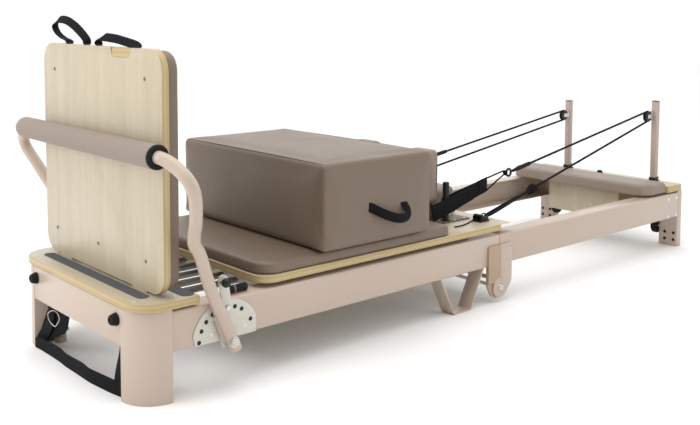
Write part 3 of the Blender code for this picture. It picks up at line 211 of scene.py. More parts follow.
def weave_group():
    """Crossing threads over a UV map in metres, for webbing and braided rope."""
    group, enter, leave = new_group(
        "crossed_threads",
        (("Pitch", "NodeSocketFloat", 0.0016), ("Slant", "NodeSocketFloat", 0.0)),
        (("Height", "NodeSocketFloat"), ("Mask", "NodeSocketFloat")))
    place = node(group, "ShaderNodeUVMap", uv_map="UVMap")
    parts = node(group, "ShaderNodeSeparateXYZ", {}, {0: place.outputs[0]})
    waves = []
    for sign in (1.0, -1.0):
        slant = node(group, "ShaderNodeMath", {1: sign}, {0: enter.outputs["Slant"]},
                     operation="MULTIPLY")
        first, second = (parts.outputs[0], parts.outputs[1])
        if sign < 0:
            first, second = second, first
        run = node(group, "ShaderNodeMath", {}, {0: second, 1: slant.outputs[0], 2: first},
                   operation="MULTIPLY_ADD")
        turns = node(group, "ShaderNodeMath", {}, {0: run.outputs[0], 1: enter.outputs["Pitch"]},
                     operation="DIVIDE")
        angle = node(group, "ShaderNodeMath", {1: 2 * math.pi}, {0: turns.outputs[0]},
                     operation="MULTIPLY")
        waves.append(node(group, "ShaderNodeMath", {}, {0: angle.outputs[0]},
                          operation="SINE").outputs[0])
    product = node(group, "ShaderNodeMath", {}, {0: waves[0], 1: waves[1]}, operation="MULTIPLY")
    mask = node(group, "ShaderNodeMapRange", {"From Min": -1.0, "From Max": 1.0},
                {"Value": product.outputs[0]})
    group.links.new(mask.outputs[0], leave.inputs["Height"])
    group.links.new(mask.outputs[0], leave.inputs["Mask"])
    return group


GROUPS = {}
LOOKS = {}


def make_groups():
    for name, maker in (("drift", tinted_group), ("fibre", fibre_group),
                        ("pebble", pebble_group), ("weave", weave_group)):
        GROUPS[name] = maker()


def use(tree, name, values=(), links=()):
    return node(tree, "ShaderNodeGroup", values, links, node_tree=GROUPS[name])


def start_look(name, roughness, metallic=0.0, specular=0.5, coat=0.0, sheen=0.0):
    """Material with its shader and the object coordinates."""
    made = bpy.data.materials.new(name)
    made.use_nodes = True
    tree = made.node_tree
    shader = tree.nodes["Principled BSDF"]
    shader.inputs["Roughness"].default_value = roughness
    shader.inputs["Metallic"].default_value = metallic
    shader.inputs["Specular IOR Level"].default_value = specular
    shader.inputs["Coat Weight"].default_value = coat
    shader.inputs["Sheen Weight"].default_value = sheen
    LOOKS[name] = made
    place = node(tree, "ShaderNodeTexCoord").outputs["Object"]
    return tree, shader, place


def bump(tree, shader, height, distance, strength=1.0):
    made = node(tree, "ShaderNodeBump", {"Distance": distance, "Strength": strength},
                {"Height": height})
    tree.links.new(made.outputs[0], shader.inputs["Normal"])


def vary_roughness(tree, shader, mask, low, high):
    spread = node(tree, "ShaderNodeMapRange", {"From Min": 0.3, "From Max": 0.7,
                                               "To Min": low, "To Max": high}, {"Value": mask})
    tree.links.new(spread.outputs[0], shader.inputs["Roughness"])


def grainy_look(name, colour, roughness, grain, depth, amount=0.06, patch=6.0, **shading):
    """Paint, plastic, rubber or metal: drifting tone, fine grain in the surface."""
    tree, shader, place = start_look(name, roughness, **shading)
    drift = use(tree, "drift", {"Colour": (*colour, 1), "Amount": amount, "Patch Size": patch},
                {"Vector": place})
    tree.links.new(drift.outputs["Colour"], shader.inputs["Base Color"])
    vary_roughness(tree, shader, drift.outputs["Mask"], roughness - 0.05, roughness + 0.06)
    fine = node(tree, "ShaderNodeTexNoise", {"Scale": grain, "Detail": 2.0}, {"Vector": place})
    bump(tree, shader, fine.outputs["Fac"], depth)


def hide_look(name, colour, scale=620.0):
    """Leatherette with pressed grain; the creases are a little darker, a painted shade."""
    tree, shader, place = start_look(name, 0.45, specular=0.7, sheen=0.05)
    drift = use(tree, "drift", {"Colour": (*colour, 1), "Amount": 0.10, "Patch Size": 7.0},
                {"Vector": place})
    grain = use(tree, "pebble", {"Scale": scale}, {"Vector": place})
    # Painted shade: the colour is darkened in the grain's creases, the low parts of its height.
    darker = node(tree, "ShaderNodeMapRange", {"To Min": 0.86, "To Max": 1.0},
                  {"Value": grain.outputs["Creases"]})
    shaded = node(tree, "ShaderNodeVectorMath", {}, {0: drift.outputs["Colour"]},
                  operation="SCALE")
    tree.links.new(darker.outputs[0], shaded.inputs["Scale"])
    tree.links.new(shaded.outputs[0], shader.inputs["Base Color"])
    vary_roughness(tree, shader, drift.outputs["Mask"], 0.40, 0.50)
    bump(tree, shader, grain.outputs["Height"], 0.0002, 0.7)


def wood_look(name, grain_axis, thick_axis, light, dark):
    """Birch plywood: fibres on the faces along one axis, layers across the edges."""
    tree, shader, place = start_look(name, 0.38, specular=0.4, coat=0.15)
    turns = {"X": (0, 0, 0), "Y": (0, 0, math.pi / 2), "Z": (0, math.pi / 2, 0)}
    turned = node(tree, "ShaderNodeMapping", {"Rotation": turns[grain_axis]}, {"Vector": place})
    face = use(tree, "fibre", {"Light": (*light, 1), "Dark": (*dark, 1)},
               {"Vector": turned.outputs[0]})
    parts = node(tree, "ShaderNodeSeparateXYZ", {}, {0: place})
    across = parts.outputs["XYZ".index(thick_axis)]
    layer = node(tree, "ShaderNodeMath", {1: 1 / 0.0031}, {0: across}, operation="MULTIPLY")
    saw = node(tree, "ShaderNodeMath", {1: 2.0}, {0: layer.outputs[0]}, operation="PINGPONG")
    ply = node(tree, "ShaderNodeMapRange", {"From Min": 0.85, "From Max": 1.05},
               {"Value": saw.outputs[0]})
    edge_fibre = node(tree, "ShaderNodeTexNoise", {"Scale": 160.0, "Detail": 3.0},
                      {"Vector": place})
    fuzzy = node(tree, "ShaderNodeMath", {1: 0.35}, {0: edge_fibre.outputs["Fac"],
                                                    2: ply.outputs[0]},
                 operation="MULTIPLY_ADD")
    edge = node(tree, "ShaderNodeMix", {"A": (0.49, 0.375, 0.190, 1), "B": (0.43, 0.315, 0.150, 1)},
                {"Factor": fuzzy.outputs[0]}, data_type="RGBA", clamp_factor=True)
    facing = node(tree, "ShaderNodeTexCoord").outputs["Normal"]
    normal = node(tree, "ShaderNodeSeparateXYZ", {}, {0: facing})
    tilt = node(tree, "ShaderNodeMath", {}, {0: normal.outputs["XYZ".index(thick_axis)]},
                operation="ABSOLUTE")
    on_face = node(tree, "ShaderNodeMapRange", {"From Min": 0.55, "From Max": 0.8},
                   {"Value": tilt.outputs[0]})
    colour = node(tree, "ShaderNodeMix", {}, {"Factor": on_face.outputs[0],
                                              "A": edge.outputs["Result"],
                                              "B": face.outputs["Colour"]}, data_type="RGBA")
    tree.links.new(colour.outputs["Result"], shader.inputs["Base Color"])
    bump(tree, shader, face.outputs["Height"], 0.00008, 0.6)


def thread_look(name, colour, pitch, slant, depth):
    """Woven webbing or braided rope, with painted shade between the threads and painted highlight on
    their crowns.
    """
    tree, shader, place = start_look(name, 0.85, specular=0.12, sheen=0.02)
    threads = use(tree, "weave", {"Pitch": pitch, "Slant": slant})
    drift = use(tree, "drift", {"Colour": (*colour, 1), "Amount": 0.25, "Patch Size": 60.0},
                {"Vector": place})
    # Painted shade and highlight: the threads' low parts are darkened and their crowns lightened.
    level = node(tree, "ShaderNodeMapRange", {"To Min": 0.55, "To Max": 1.35},
                 {"Value": threads.outputs["Mask"]})
    shaded = node(tree, "ShaderNodeVectorMath", {}, {0: drift.outputs["Colour"]},
                  operation="SCALE")
    tree.links.new(level.outputs[0], shaded.inputs["Scale"])
    tree.links.new(shaded.outputs[0], shader.inputs["Base Color"])
    bump(tree, shader, threads.outputs["Height"], depth)


# Finishes of this object
def make_looks():
    """Every finish, in the colours of the panel."""
    tones = bpy.context.scene.reformer_finish
    grainy_look("powder coat", tones.powder_coat, 0.34, 900.0, 0.00006, 0.05, specular=0.5,
                coat=0.12)
    # Darker copy of the powder coat: painted shade for the hinge yoke, whose legs sit in shadow under
    # the frame.
    shaded = tuple(part * painted_shade_factor for part, painted_shade_factor in zip(tones.powder_coat, (0.84, 0.75, 0.65)))
    grainy_look("painted shade coat", shaded, 0.4, 900.0, 0.00006, 0.05, specular=0.3)
    grainy_look("pale powder coat", tones.pale_coat, 0.4, 900.0, 0.00006, 0.05)
    grainy_look("black rubber", (0.008, 0.008, 0.009), 0.72, 300.0, 0.0002, 0.3, 30.0,
                specular=0.25)
    grainy_look("black moulding", (0.007, 0.007, 0.008), 0.38, 1500.0, 0.00008, 0.25, 30.0,
                specular=0.35)
    grainy_look("roller foam", tones.roller_foam, 0.82, 420.0, 0.0006, 0.12, 20.0, specular=0.25,
                sheen=0.15)
    grainy_look("anti-slip strip", (0.100, 0.108, 0.120), 0.9, 1300.0, 0.0005, 0.25, 40.0,
                specular=0.2)
    grainy_look("bright steel", (0.56, 0.56, 0.57), 0.26, 700.0, 0.00003, 0.10, 30.0,
                metallic=1.0)
    grainy_look("spring steel", (0.34, 0.32, 0.29), 0.38, 900.0, 0.00003, 0.20, 60.0,
                metallic=1.0)
    grainy_look("satin plate", (0.52, 0.50, 0.46), 0.45, 900.0, 0.00005, 0.08, metallic=0.1)
    grainy_look("dark plate", (0.14, 0.115, 0.095), 0.5, 900.0, 0.00005, 0.10)
    grainy_look("screw zinc", (0.72, 0.70, 0.66), 0.32, 700.0, 0.00003, 0.10, metallic=0.7)
    grainy_look("white zinc", (0.84, 0.82, 0.78), 0.38, 700.0, 0.00003, 0.06, metallic=0.2)
    grainy_look("worn zinc", (0.42, 0.38, 0.30), 0.42, 700.0, 0.00004, 0.20, metallic=0.5)
    grainy_look("bright plate", (0.56, 0.535, 0.47), 0.36, 900.0, 0.00003, 0.06, metallic=0.1)
    hide_look("taupe hide", tones.hide)
    hide_look("light hide", tones.light_hide)
    grainy_look("hide seam", tuple(0.5 * part for part in tones.hide), 0.7, 1100.0, 0.0002, 0.2)
    light, dark = tones.birch, tuple(0.80 * part for part in tones.birch)
    for name, grain, thick in (("birch flat", "Y", "Z"), ("birch deck", "X", "Z"),
                               ("birch upright", "Z", "X")):
        wood_look(name, grain, thick, light, dark)
    wood_look("cut ply", "Y", "Z", tuple(0.74 * part for part in tones.birch),
              tuple(0.58 * part for part in tones.birch))
    thread_look("black webbing", (0.006, 0.006, 0.008), 0.0017, 0.0, 0.0003)
    thread_look("black braid", (0.007, 0.007, 0.008), 0.0026, 1.0, 0.0004)


# Shapes
def settle(bm, merge=1e-6):
    """Doubles merged and every face turned outwards."""
    bmesh.ops.remove_doubles(bm, verts=bm.verts, dist=merge)
    bmesh.ops.recalc_face_normals(bm, faces=bm.faces)
    if bm.calc_volume(signed=True) < 0:
        bmesh.ops.reverse_faces(bm, faces=bm.faces)


def bevelled(bm, parts, radius, segments, kind="EDGES", clamp=False):
    """Round the given edges or corners in that many steps."""
    bmesh.ops.bevel(bm, geom=parts, offset=radius, offset_type="OFFSET", segments=segments,
                    profile=0.5, affect=kind, material=-1, clamp_overlap=clamp)


def rounded_edges(bm, width, angle=40, segments=2):
    """Round all edges that turn more than the angle."""
    bm.normal_update()
    chosen = [edge for edge in bm.edges if edge.is_manifold
              and edge.calc_face_angle(0) > math.radians(angle)]
    bevelled(bm, chosen, width, segments, clamp=True)


def edges_along(bm, axis, least):
    """Edges that run further than the least along the axis, which is 0, 1 or 2."""
    return [edge for edge in bm.edges
            if abs(edge.verts[0].co[axis] - edge.verts[1].co[axis]) > least]


def cube(size, middle):
    bm = bmesh.new()
    bmesh.ops.create_cube(bm, size=1.0)
    bmesh.ops.scale(bm, verts=bm.verts, vec=size)
    bmesh.ops.translate(bm, verts=bm.verts, vec=middle)
    return bm


def absorb(bm, other):
    """The second mesh added to the first."""
    holder = bpy.data.meshes.new("shape")
    other.to_mesh(holder)
    other.free()
    bm.from_mesh(holder)
    bpy.data.meshes.remove(holder)


def joined(*forms):
    whole = bmesh.new()
    whole.loops.layers.uv.new("UVMap")
    for form in forms:
        absorb(whole, form)
    return whole


def deliver(bm, name, look, body, stands_for=(), shade=32, placed=False, keep_normals=False):
    """The finished object of the mesh: in the row frame, with its finish, ride and nodes."""
    if not placed:
        bmesh.ops.translate(bm, verts=bm.verts, vec=(-X_MIDDLE, 0, 0))
    if not keep_normals:
        settle(bm)
    for face in bm.faces:
        face.smooth = True
    mesh = bpy.data.meshes.new(name)
    bm.to_mesh(mesh)
    bm.free()
    mesh.set_sharp_from_angle(angle=math.radians(shade))
    mesh.materials.append(LOOKS[look])
    made = bpy.data.objects.new(name, mesh)
    bpy.context.scene.collection.objects.link(made)
    if body:
        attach(made, body)
    if stands_for:
        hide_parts(*([stands_for] if isinstance(stands_for, str) else stands_for))
    return made


def refined(name, look, body, edge=0.0008, angle=38):
    """The node's solid with its triangles joined into whole faces and its edges rounded."""
    bm = bmesh.new()
    bm.from_mesh(NODES[name].data)
    bmesh.ops.remove_doubles(bm, verts=bm.verts, dist=1e-5)
    bmesh.ops.dissolve_limit(bm, angle_limit=math.radians(1.5), verts=bm.verts, edges=bm.edges,
                             delimit={"NORMAL"})
    rounded_edges(bm, edge, angle)
    return deliver(bm, name + "_dressed", look, body, name, placed=True)


def brick(x, y, z, edge=0.001):
    """Block between the given limits with its edges rounded."""
    bm = cube((x[1] - x[0], abs(y[1] - y[0]), z[1] - z[0]),
              ((x[0] + x[1]) / 2, (y[0] + y[1]) / 2, (z[0] + z[1]) / 2))
    if edge:
        rounded_edges(bm, edge)
    return bm


def turning(axis):
    """Matrix that lays +Z along the axis."""
    return Vector((0, 0, 1)).rotation_difference(Vector(axis)).to_matrix().to_4x4()


def lathed(profile, centre, axis, sides=40):
    """(radius, height) points spun round the axis through the centre."""
    bm = bmesh.new()
    verts = [bm.verts.new((radius, 0, height)) for radius, height in profile]
    edges = [bm.edges.new(pair) for pair in zip(verts, verts[1:])]
    if profile[0][0] > 1e-5 and profile[-1][0] > 1e-5:
        edges.append(bm.edges.new((verts[-1], verts[0])))
    bmesh.ops.spin(bm, geom=verts + edges, cent=(0, 0, 0), axis=(0, 0, 1),
                   angle=2 * math.pi, steps=sides, use_merge=True)
    settle(bm, 1e-5)
    bmesh.ops.transform(bm, matrix=Matrix.Translation(centre) @ turning(axis), verts=bm.verts)
    return bm


def size_of(name):
    """A size from the panel, without the last digits that single precision adds."""
    return round(getattr(bpy.context.scene.reformer_sizes, name), 5)


def mirrored(half):
    """A profile and its mirror image below, from the half that is given."""
    return half + [(radius, -height) for radius, height in reversed(half)]


def sheet_form(outline, plane, low, high, edge=0.0, corners=None):
    """Outline in a plane given the thickness from low to high; corners are (index, radius)."""
    places = {"XY": lambda u, v, w: (u, v, w), "XZ": lambda u, v, w: (u, w, v),
              "YZ": lambda u, v, w: (w, u, v)}[plane]
    bm = bmesh.new()
    verts = [bm.verts.new(places(u, v, low)) for u, v in outline]
    bm.faces.new(verts)
    for index, radius in (corners or {}).items():
        bevelled(bm, [verts[index]], radius, 8, "VERTICES")
    made = bmesh.ops.extrude_face_region(bm, geom=list(bm.faces))
    moved = [part for part in made["geom"] if isinstance(part, bmesh.types.BMVert)]
    bmesh.ops.translate(bm, verts=moved, vec=Vector(places(0, 0, high)) - Vector(places(0, 0, low)))
    settle(bm)
    if edge:
        rounded_edges(bm, edge, 50)
    return bm


def eased(points, steps, closed=False):
    """Points on a smooth curve through the given ones."""
    knots = [Vector(point) for point in points]
    count = len(knots)
    made = []
    for index in range(count if closed else count - 1):
        b, c = knots[index], knots[(index + 1) % count]
        a = knots[index - 1] if index or closed else 2 * b - c
        d = knots[(index + 2) % count] if closed or index + 2 < count else 2 * c - b
        for step in range(steps):
            t = step / steps
            made.append(0.5 * (2 * b + (c - a) * t + (2 * a - 5 * b + 4 * c - d) * t * t
                               + (3 * b - a - 3 * c + d) * t ** 3))
    return made if closed else made + [knots[-1]]


def ring(radius, sides=16):
    turn = 2 * math.pi / sides
    return [(radius * math.cos(turn * k), radius * math.sin(turn * k)) for k in range(sides)]


def band(width, thick):
    """Flat strap section with rounded edges."""
    w, t = width / 2, thick / 2
    return [(-w, -t * 0.5), (-w + t, -t), (w - t, -t), (w, -t * 0.5), (w, t * 0.5), (w - t, t),
            (-w + t, t), (-w, t * 0.5)]


def swept(route, outline, closed=False, across=None, swell=None):
    """The outline of (side, up) pairs carried along a route, with a UV map in metres.

    across is the wished side direction at the start, or one for every point; swell scales the
    outline point by point.
    """
    route = [Vector(point) for point in route]
    total = len(route)
    guides = across if isinstance(across, list) else None
    side = Vector(across) if across is not None and not guides else None
    runs = [0.0]
    for a, b in zip(route, route[1:]):
        runs.append(runs[-1] + (b - a).length)
    frames = []
    for index, point in enumerate(route):
        before = route[index - 1] if index or closed else point
        after = route[(index + 1) % total] if closed or index + 1 < total else point
        ahead = (after - before).normalized()
        if guides:
            side = Vector(guides[index])
        elif side is None:
            side = ahead.orthogonal()
        side = (side - ahead * side.dot(ahead)).normalized()
        frames.append((side, ahead.cross(side)))
    girth = [0.0]
    for a, b in zip(outline, outline[1:] + outline[:1]):
        girth.append(girth[-1] + math.hypot(b[0] - a[0], b[1] - a[1]))

    bm = bmesh.new()
    place = bm.verts.layers.int.new("place")
    step_layer = bm.verts.layers.int.new("step")
    uv = bm.loops.layers.uv.new("UVMap")

    def seat(verts, index):
        scale = swell[index] if swell else 1.0
        across_now, up_now = frames[index]
        for vert in verts:
            u, v = outline[vert[place]]
            vert.co = route[index] + (across_now * u + up_now * v) * scale
            vert[step_layer] = index

    verts = []
    for number in range(len(outline)):
        vert = bm.verts.new((0, 0, 0))
        vert[place] = number
        verts.append(vert)
    edges = [bm.edges.new((verts[k], verts[(k + 1) % len(verts)])) for k in range(len(verts))]
    seat(verts, 0)
    first = edges
    for index in range(1, total):
        made = bmesh.ops.extrude_edge_only(bm, edges=edges)["geom"]
        edges = [part for part in made if isinstance(part, bmesh.types.BMEdge)
                 and part.verts[0][step_layer] == part.verts[1][step_layer] == index - 1
                 and part.is_boundary and part not in first]
        verts = [part for part in made if isinstance(part, bmesh.types.BMVert)]
        fresh = set(verts)
        edges = [edge for edge in edges if edge.verts[0] in fresh and edge.verts[1] in fresh]
        seat(verts, index)
    if closed:
        bmesh.ops.bridge_loops(bm, edges=first + edges)
    last_run = runs[-1] + (route[0] - route[-1]).length
    for face in bm.faces:
        places = [loop.vert[place] for loop in face.loops]
        steps = [loop.vert[step_layer] for loop in face.loops]
        wraps = max(places) - min(places) > 1
        ends = closed and max(steps) - min(steps) > 1
        for loop in face.loops:
            at, on = loop.vert[place], loop.vert[step_layer]
            around = girth[-1] if wraps and at == 0 else girth[at]
            loop[uv].uv = (around, last_run if ends and on == 0 else runs[on])
    if not closed:
        bmesh.ops.holes_fill(bm, edges=[edge for edge in bm.edges if edge.is_boundary], sides=0)
    bmesh.ops.recalc_face_normals(bm, faces=bm.faces)
    if bm.calc_volume(signed=True) < 0:
        bmesh.ops.reverse_faces(bm, faces=bm.faces)
    return bm


def spread(turns, count):
    """The given directions spread evenly over that many points."""
    made = []
    for index in range(count):
        at = index / (count - 1) * (len(turns) - 1)
        low = min(int(at), len(turns) - 2)
        made.append(Vector(turns[low]).lerp(Vector(turns[low + 1]), at - low))
    return made


def pushed(bm, strength, scale, seed=0.0):
    """Small uneven dents, the same on every run."""
    for vert in bm.verts:
        vert.co += vert.normal * strength * noise.noise(vert.co * scale + Vector((seed,) * 3))


def screw_head(centre, axis, radius=0.0042, height=0.0012):
    """Domed screw head with a cross recess."""
    bm = lathed([(0, height), (radius * 0.45, height * 0.95), (radius * 0.85, height * 0.55),
                 (radius, 0), (radius, -height), (0, -height)], (0, 0, 0), (0, 0, 1), 24)
    for angle in (0.0, math.pi / 2):
        slot = brick((-radius * 0.55, radius * 0.55), (-radius * 0.12, radius * 0.12),
                     (height * 0.9, height * 1.06), 0)
        bmesh.ops.rotate(slot, verts=slot.verts, matrix=Matrix.Rotation(angle, 3, "Z"))
        absorb(bm, slot)
    bmesh.ops.transform(bm, matrix=Matrix.Translation(centre) @ turning(axis), verts=bm.verts)
    return bm


def screws(name, look, body, places, axis, radius=0.0042, height=0.0012):
    forms = [screw_head(place, axis, radius, height) for place in places]
    return deliver(joined(*forms), name, look, body, keep_normals=True)


# Soft pieces
PUFF_PRESSURE = 4.0
PUFF_FRAMES = 20
REST_BAND = 0.003


def puffed(bm, name, look, body, stands_for, cap, voxel, flat):
    """A cushion: the form is remeshed, blown up by cloth pressure and held within the cap.

    flat is (axis, value, side) of the face that rests on something and stays as it is.
    """
    bmesh.ops.translate(bm, verts=bm.verts, vec=(-X_MIDDLE, 0, 0))
    settle(bm)
    mesh = bpy.data.meshes.new(name)
    bm.to_mesh(mesh)
    bm.free()
    made = bpy.data.objects.new(name, mesh)
    scene = bpy.context.scene
    scene.collection.objects.link(made)
    grid = made.modifiers.new("grid", "REMESH")
    grid.mode = "VOXEL"
    grid.voxel_size = voxel
    applied(made)
    axis, value, side = flat if flat else (2, 0.0, 0)
    if axis == 0:
        value -= X_MIDDLE

    def rests(point):
        return side and (point[axis] - value) * side < REST_BAND

    start = [vert.co.copy() for vert in made.data.vertices]
    held = made.vertex_groups.new(name="held")
    resting = [index for index, point in enumerate(start) if rests(point)]
    held.add(resting, 1.0, "REPLACE")
    cloth = made.modifiers.new("cloth", "CLOTH")
    setting = cloth.settings
    setting.quality = 4
    setting.mass = 0.3
    setting.tension_stiffness = setting.compression_stiffness = 25.0
    setting.shear_stiffness = 8.0
    setting.bending_stiffness = 2.0
    setting.use_pressure = True
    setting.uniform_pressure_force = PUFF_PRESSURE
    setting.effector_weights.gravity = 0.0
    if resting:
        setting.vertex_group_mass = "held"
    cloth.collision_settings.use_collision = False
    cloth.point_cache.frame_start = 1
    cloth.point_cache.frame_end = PUFF_FRAMES
    for frame in range(1, PUFF_FRAMES + 1):
        scene.frame_set(frame)
    applied(made)
    scene.frame_set(1)
    for vert, before in zip(made.data.vertices, start):
        move = vert.co - before
        if rests(before):
            vert.co = before
        elif move.length > cap:
            vert.co = before + move * (cap / move.length)
    smooth_out(made.data, rests)
    for face in made.data.polygons:
        face.use_smooth = True
    fine = made.modifiers.new("fine", "SUBSURF")
    fine.levels = fine.render_levels = 1
    made.data.materials.append(LOOKS[look])
    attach(made, body)
    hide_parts(*([stands_for] if isinstance(stands_for, str) else stands_for))
    return made


def applied(made):
    """The object's modifiers worked into its mesh."""
    shown = made.evaluated_get(bpy.context.evaluated_depsgraph_get())
    mesh = bpy.data.meshes.new_from_object(shown)
    old = made.data
    mesh.name = old.name
    made.modifiers.clear()
    made.data = mesh
    bpy.data.meshes.remove(old)


def smooth_out(mesh, rests):
    """Voxel steps taken out of the surface, leaving the resting face."""
    bm = bmesh.new()
    bm.from_mesh(mesh)
    free = [vert for vert in bm.verts if not rests(vert.co)]
    for _ in range(3):
        bmesh.ops.smooth_vert(bm, verts=free, factor=0.5, use_axis_x=True, use_axis_y=True,
                              use_axis_z=True)
    bm.to_mesh(mesh)
    bm.free()


def slab_form(x, y, z, roll, corners=(), flat_low=True):
    """Upholstered board: rounded plan corners as (x sign, y sign, radius), rolled upper edge."""
    size = Vector((x[1] - x[0], y[1] - y[0], z[1] - z[0]))
    middle = Vector((x[0] + x[1], y[0] + y[1], z[0] + z[1])) / 2
    bm = cube(size, middle)
    for sign_x, sign_y, radius in corners:
        edges = [edge for edge in edges_along(bm, 2, size.z / 2)
                 if all((vert.co.x - middle.x) * sign_x > 0.3 * size.x
                        and (vert.co.y - middle.y) * sign_y > 0.3 * size.y for vert in edge.verts)]
        bevelled(bm, edges, radius, 10)
    bm.normal_update()
    rim = [edge for edge in bm.edges if edge.calc_face_angle(0) > 1.0
           and (not flat_low or min(vert.co.z for vert in edge.verts) > middle.z)]
    bevelled(bm, rim, roll, 5)
    return bm


# Foot half
def foot_rails():
    for side_name, side in SIDES:
        refined("foot_rail_" + side_name, "powder coat", "foot_frame", 0.0012)
        refined("column_" + side_name, "powder coat", "foot_frame", 0.0010, 30)
        foot = lathed([(0, 0), (0.0115, 0), (0.0120, 0.0012), (0.0120, 0.0140),
                       (0.0112, 0.0152), (0.0072, 0.0156), (0.0072, 0.0190), (0, 0.0190)],
                      (0.063, side * 0.230, 0), (0, 0, 1), 32)
        tab = brick((0.050, 0.076), (side * 0.2170, side * 0.2426), (0.0190, 0.0225), 0.0006)
        deliver(joined(foot, tab), "levelling_foot_" + side_name, "worn zinc", "foot_frame",
                keep_normals=True)
    front, wall = 0.0003, 0.0030
    beam = sheet_form([(BEAM_DEPTH, BEAM_BOTTOM), (front, BEAM_BOTTOM), (front, BEAM_TOP),
                       (BEAM_DEPTH, BEAM_TOP), (BEAM_DEPTH, BEAM_TOP - wall),
                       (front + wall, BEAM_TOP - wall), (front + wall, BEAM_BOTTOM + wall),
                       (BEAM_DEPTH, BEAM_BOTTOM + wall)],
                      "XZ", -0.2427, 0.2427, 0.0012)
    deliver(beam, "foot_beam_dressed", "powder coat", "foot_frame", "foot_beam")
    for side_name, side in SIDES:
        profile = [(0, 0.0), (0.0155, 0.0), (0.0155, 0.002)]
        for ridge in range(4):
            height = 0.0025 + ridge * 0.0034
            radius = 0.0152 - ridge * 0.0010
            profile += [(radius, height), (radius, height + 0.0022),
                        (radius - 0.0009, height + 0.0026), (radius - 0.0010, height + 0.0032)]
        profile += [(0.0108, 0.0165), (0.0095, 0.0178), (0.0050, 0.0180), (0.0046, 0.0150),
                    (0, 0.0150)]
        buffer = lathed(profile, (0.0003, side * 0.225, 0.193), (-1, 0, 0), 40)
        deliver(buffer, "bumper_" + side_name, "black rubber", "foot_frame", "foot_beam")
        stop_at = (STOP_AT[0], side * STOP_AT[1], STOP_AT[2])
        stop = lathed([(0, 0), (0.0088, 0), (0.0100, 0.0012), (0.0102, 0.0140), (0.0092, 0.0155),
                       (0.0092, 0.0215), (0.0102, 0.0230), (0.0102, 0.0540), (0.0090, 0.0560),
                       (0, 0.0560)], stop_at, (1, 0, 0), 36)
        deliver(stop, "carriage_stop_" + side_name, "black rubber", "foot_frame")
        hoop = lathed([(0.0088, 0.0160), (0.0106, 0.0162), (0.0106, 0.0208), (0.0088, 0.0210)],
                      stop_at, (1, 0, 0), 36)
        saddle = brick((0.270, 0.308), (side * 0.2890, side * 0.3030), (0.2162, 0.2200), 0.0006)
        deliver(joined(hoop, saddle), "stop_clamp_" + side_name, "dark plate", "foot_frame",
                keep_normals=True)


def foot_deck():
    refined("foot_platform", "birch flat", "foot_frame", 0.0015, 30)
    top = FOOT_DECK_TOP
    strips = [((0.037, 0.068), (-0.270, 0.270), 0.0155)]
    strips += [((0.126, 0.160), (side * 0.17 - 0.150, side * 0.17 + 0.150), 0.0155)
               for _, side in SIDES]
    for number, (x, y, radius) in enumerate(strips, 1):
        outline = [(x[0], y[0]), (x[1], y[0]), (x[1], y[1]), (x[0], y[1])]
        strip = sheet_form(outline, "XY", top, top + 0.0009)
        bevelled(strip, edges_along(strip, 2, 0.0005), radius, 10)
        deliver(strip, "grip_strip_" + str(number), "anti-slip strip", "foot_frame")
    places = [(x, side * y, top) for x, y in ((0.020, 0.275), (0.112, 0.300)) for _, side in SIDES]
    screws("deck_screws", "screw zinc", "foot_frame", places, (0, 0, 1), 0.0045)


def hinge():
    # The hinge yoke takes the darker copy of the powder coat, a painted shade.
    refined("hinge_yoke", "painted shade coat", "foot_frame", 0.0008, 35)
    refined("hinge_axle", "bright steel", "foot_frame", 0.0006, 35)
    for side_name, side in SIDES:
        refined("hinge_leaf_" + side_name, "powder coat", "head_frame", 0.0008, 35)
        axis = (0, side, 0)
        for end, columns in (("foot", (1.226, 1.248, 1.268)), ("head", (1.284, 1.302, 1.320))):
            places = [(x, side * LEAF_FACE, z) for z in (0.176, 0.132) for x in columns]
            screws("leaf_screws_" + end + "_" + side_name, "worn zinc", end + "_frame", places,
                   axis, 0.0032, 0.0009)
        cap = lathed([(0, 0.0040), (0.0030, 0.0040), (0.0034, 0.0048), (0.0085, 0.0052),
                      (0.0098, 0.0040), (0.0098, 0.0), (0, 0)],
                     (HINGE_AT[0], side * 0.3337, HINGE_AT[1]), axis, 40)
        deliver(cap, "pivot_cap_" + side_name, "bright steel", "foot_frame")


def sectors():
    for side_name, side in SIDES:
        refined("sector_plate_" + side_name, "bright plate", "foot_frame", 0.0005, 35)
        face = side * SECTOR_FACE
        # Black discs filling the lock holes: painted shade standing for the holes' dark inside.
        lock_hole_shades = []
        for angle in LOCK_ANGLES:
            turn = math.radians(angle)
            lock_hole_shades.append(lathed([(0, 0.0001), (0.0040, 0.0001), (0.0046, 0.0005),
                                  (0.0053, 0.0004), (0.0056, 0.0), (0.0056, -0.0010),
                                  (0, -0.0010)],
                                 (PIVOT_AT[0] + LOCK_ORBIT * math.cos(turn), face,
                                  PIVOT_AT[1] + LOCK_ORBIT * math.sin(turn)),
                                 (0, side, 0), 28))
        deliver(joined(*lock_hole_shades), "lock_hole_shades_" + side_name, "black moulding", "foot_frame",
                keep_normals=True)
        screws("sector_screws_" + side_name, "screw zinc", "foot_frame",
               [(x, face, z) for x, z in ((0.197, 0.140), (0.293, 0.140))], (0, side, 0),
               0.0050, 0.0016)
        washer = lathed([(0.0066, 0), (0.0132, 0), (0.0136, 0.0004), (0.0134, 0.0014),
                         (0.0066, 0.0014)], (PIVOT_AT[0], side * 0.3649, PIVOT_AT[1]),
                        (0, side, 0), 40)
        bolt = lathed([(0, 0.0078), (0.0040, 0.0074), (0.0078, 0.0056), (0.0100, 0.0026),
                       (0.0104, 0.0012), (0, 0.0012)],
                      (PIVOT_AT[0], side * 0.3652, PIVOT_AT[1]), (0, side, 0), 32)
        deliver(joined(washer, bolt), "pivot_washer_" + side_name, "bright steel", "footbar",
                keep_normals=True)


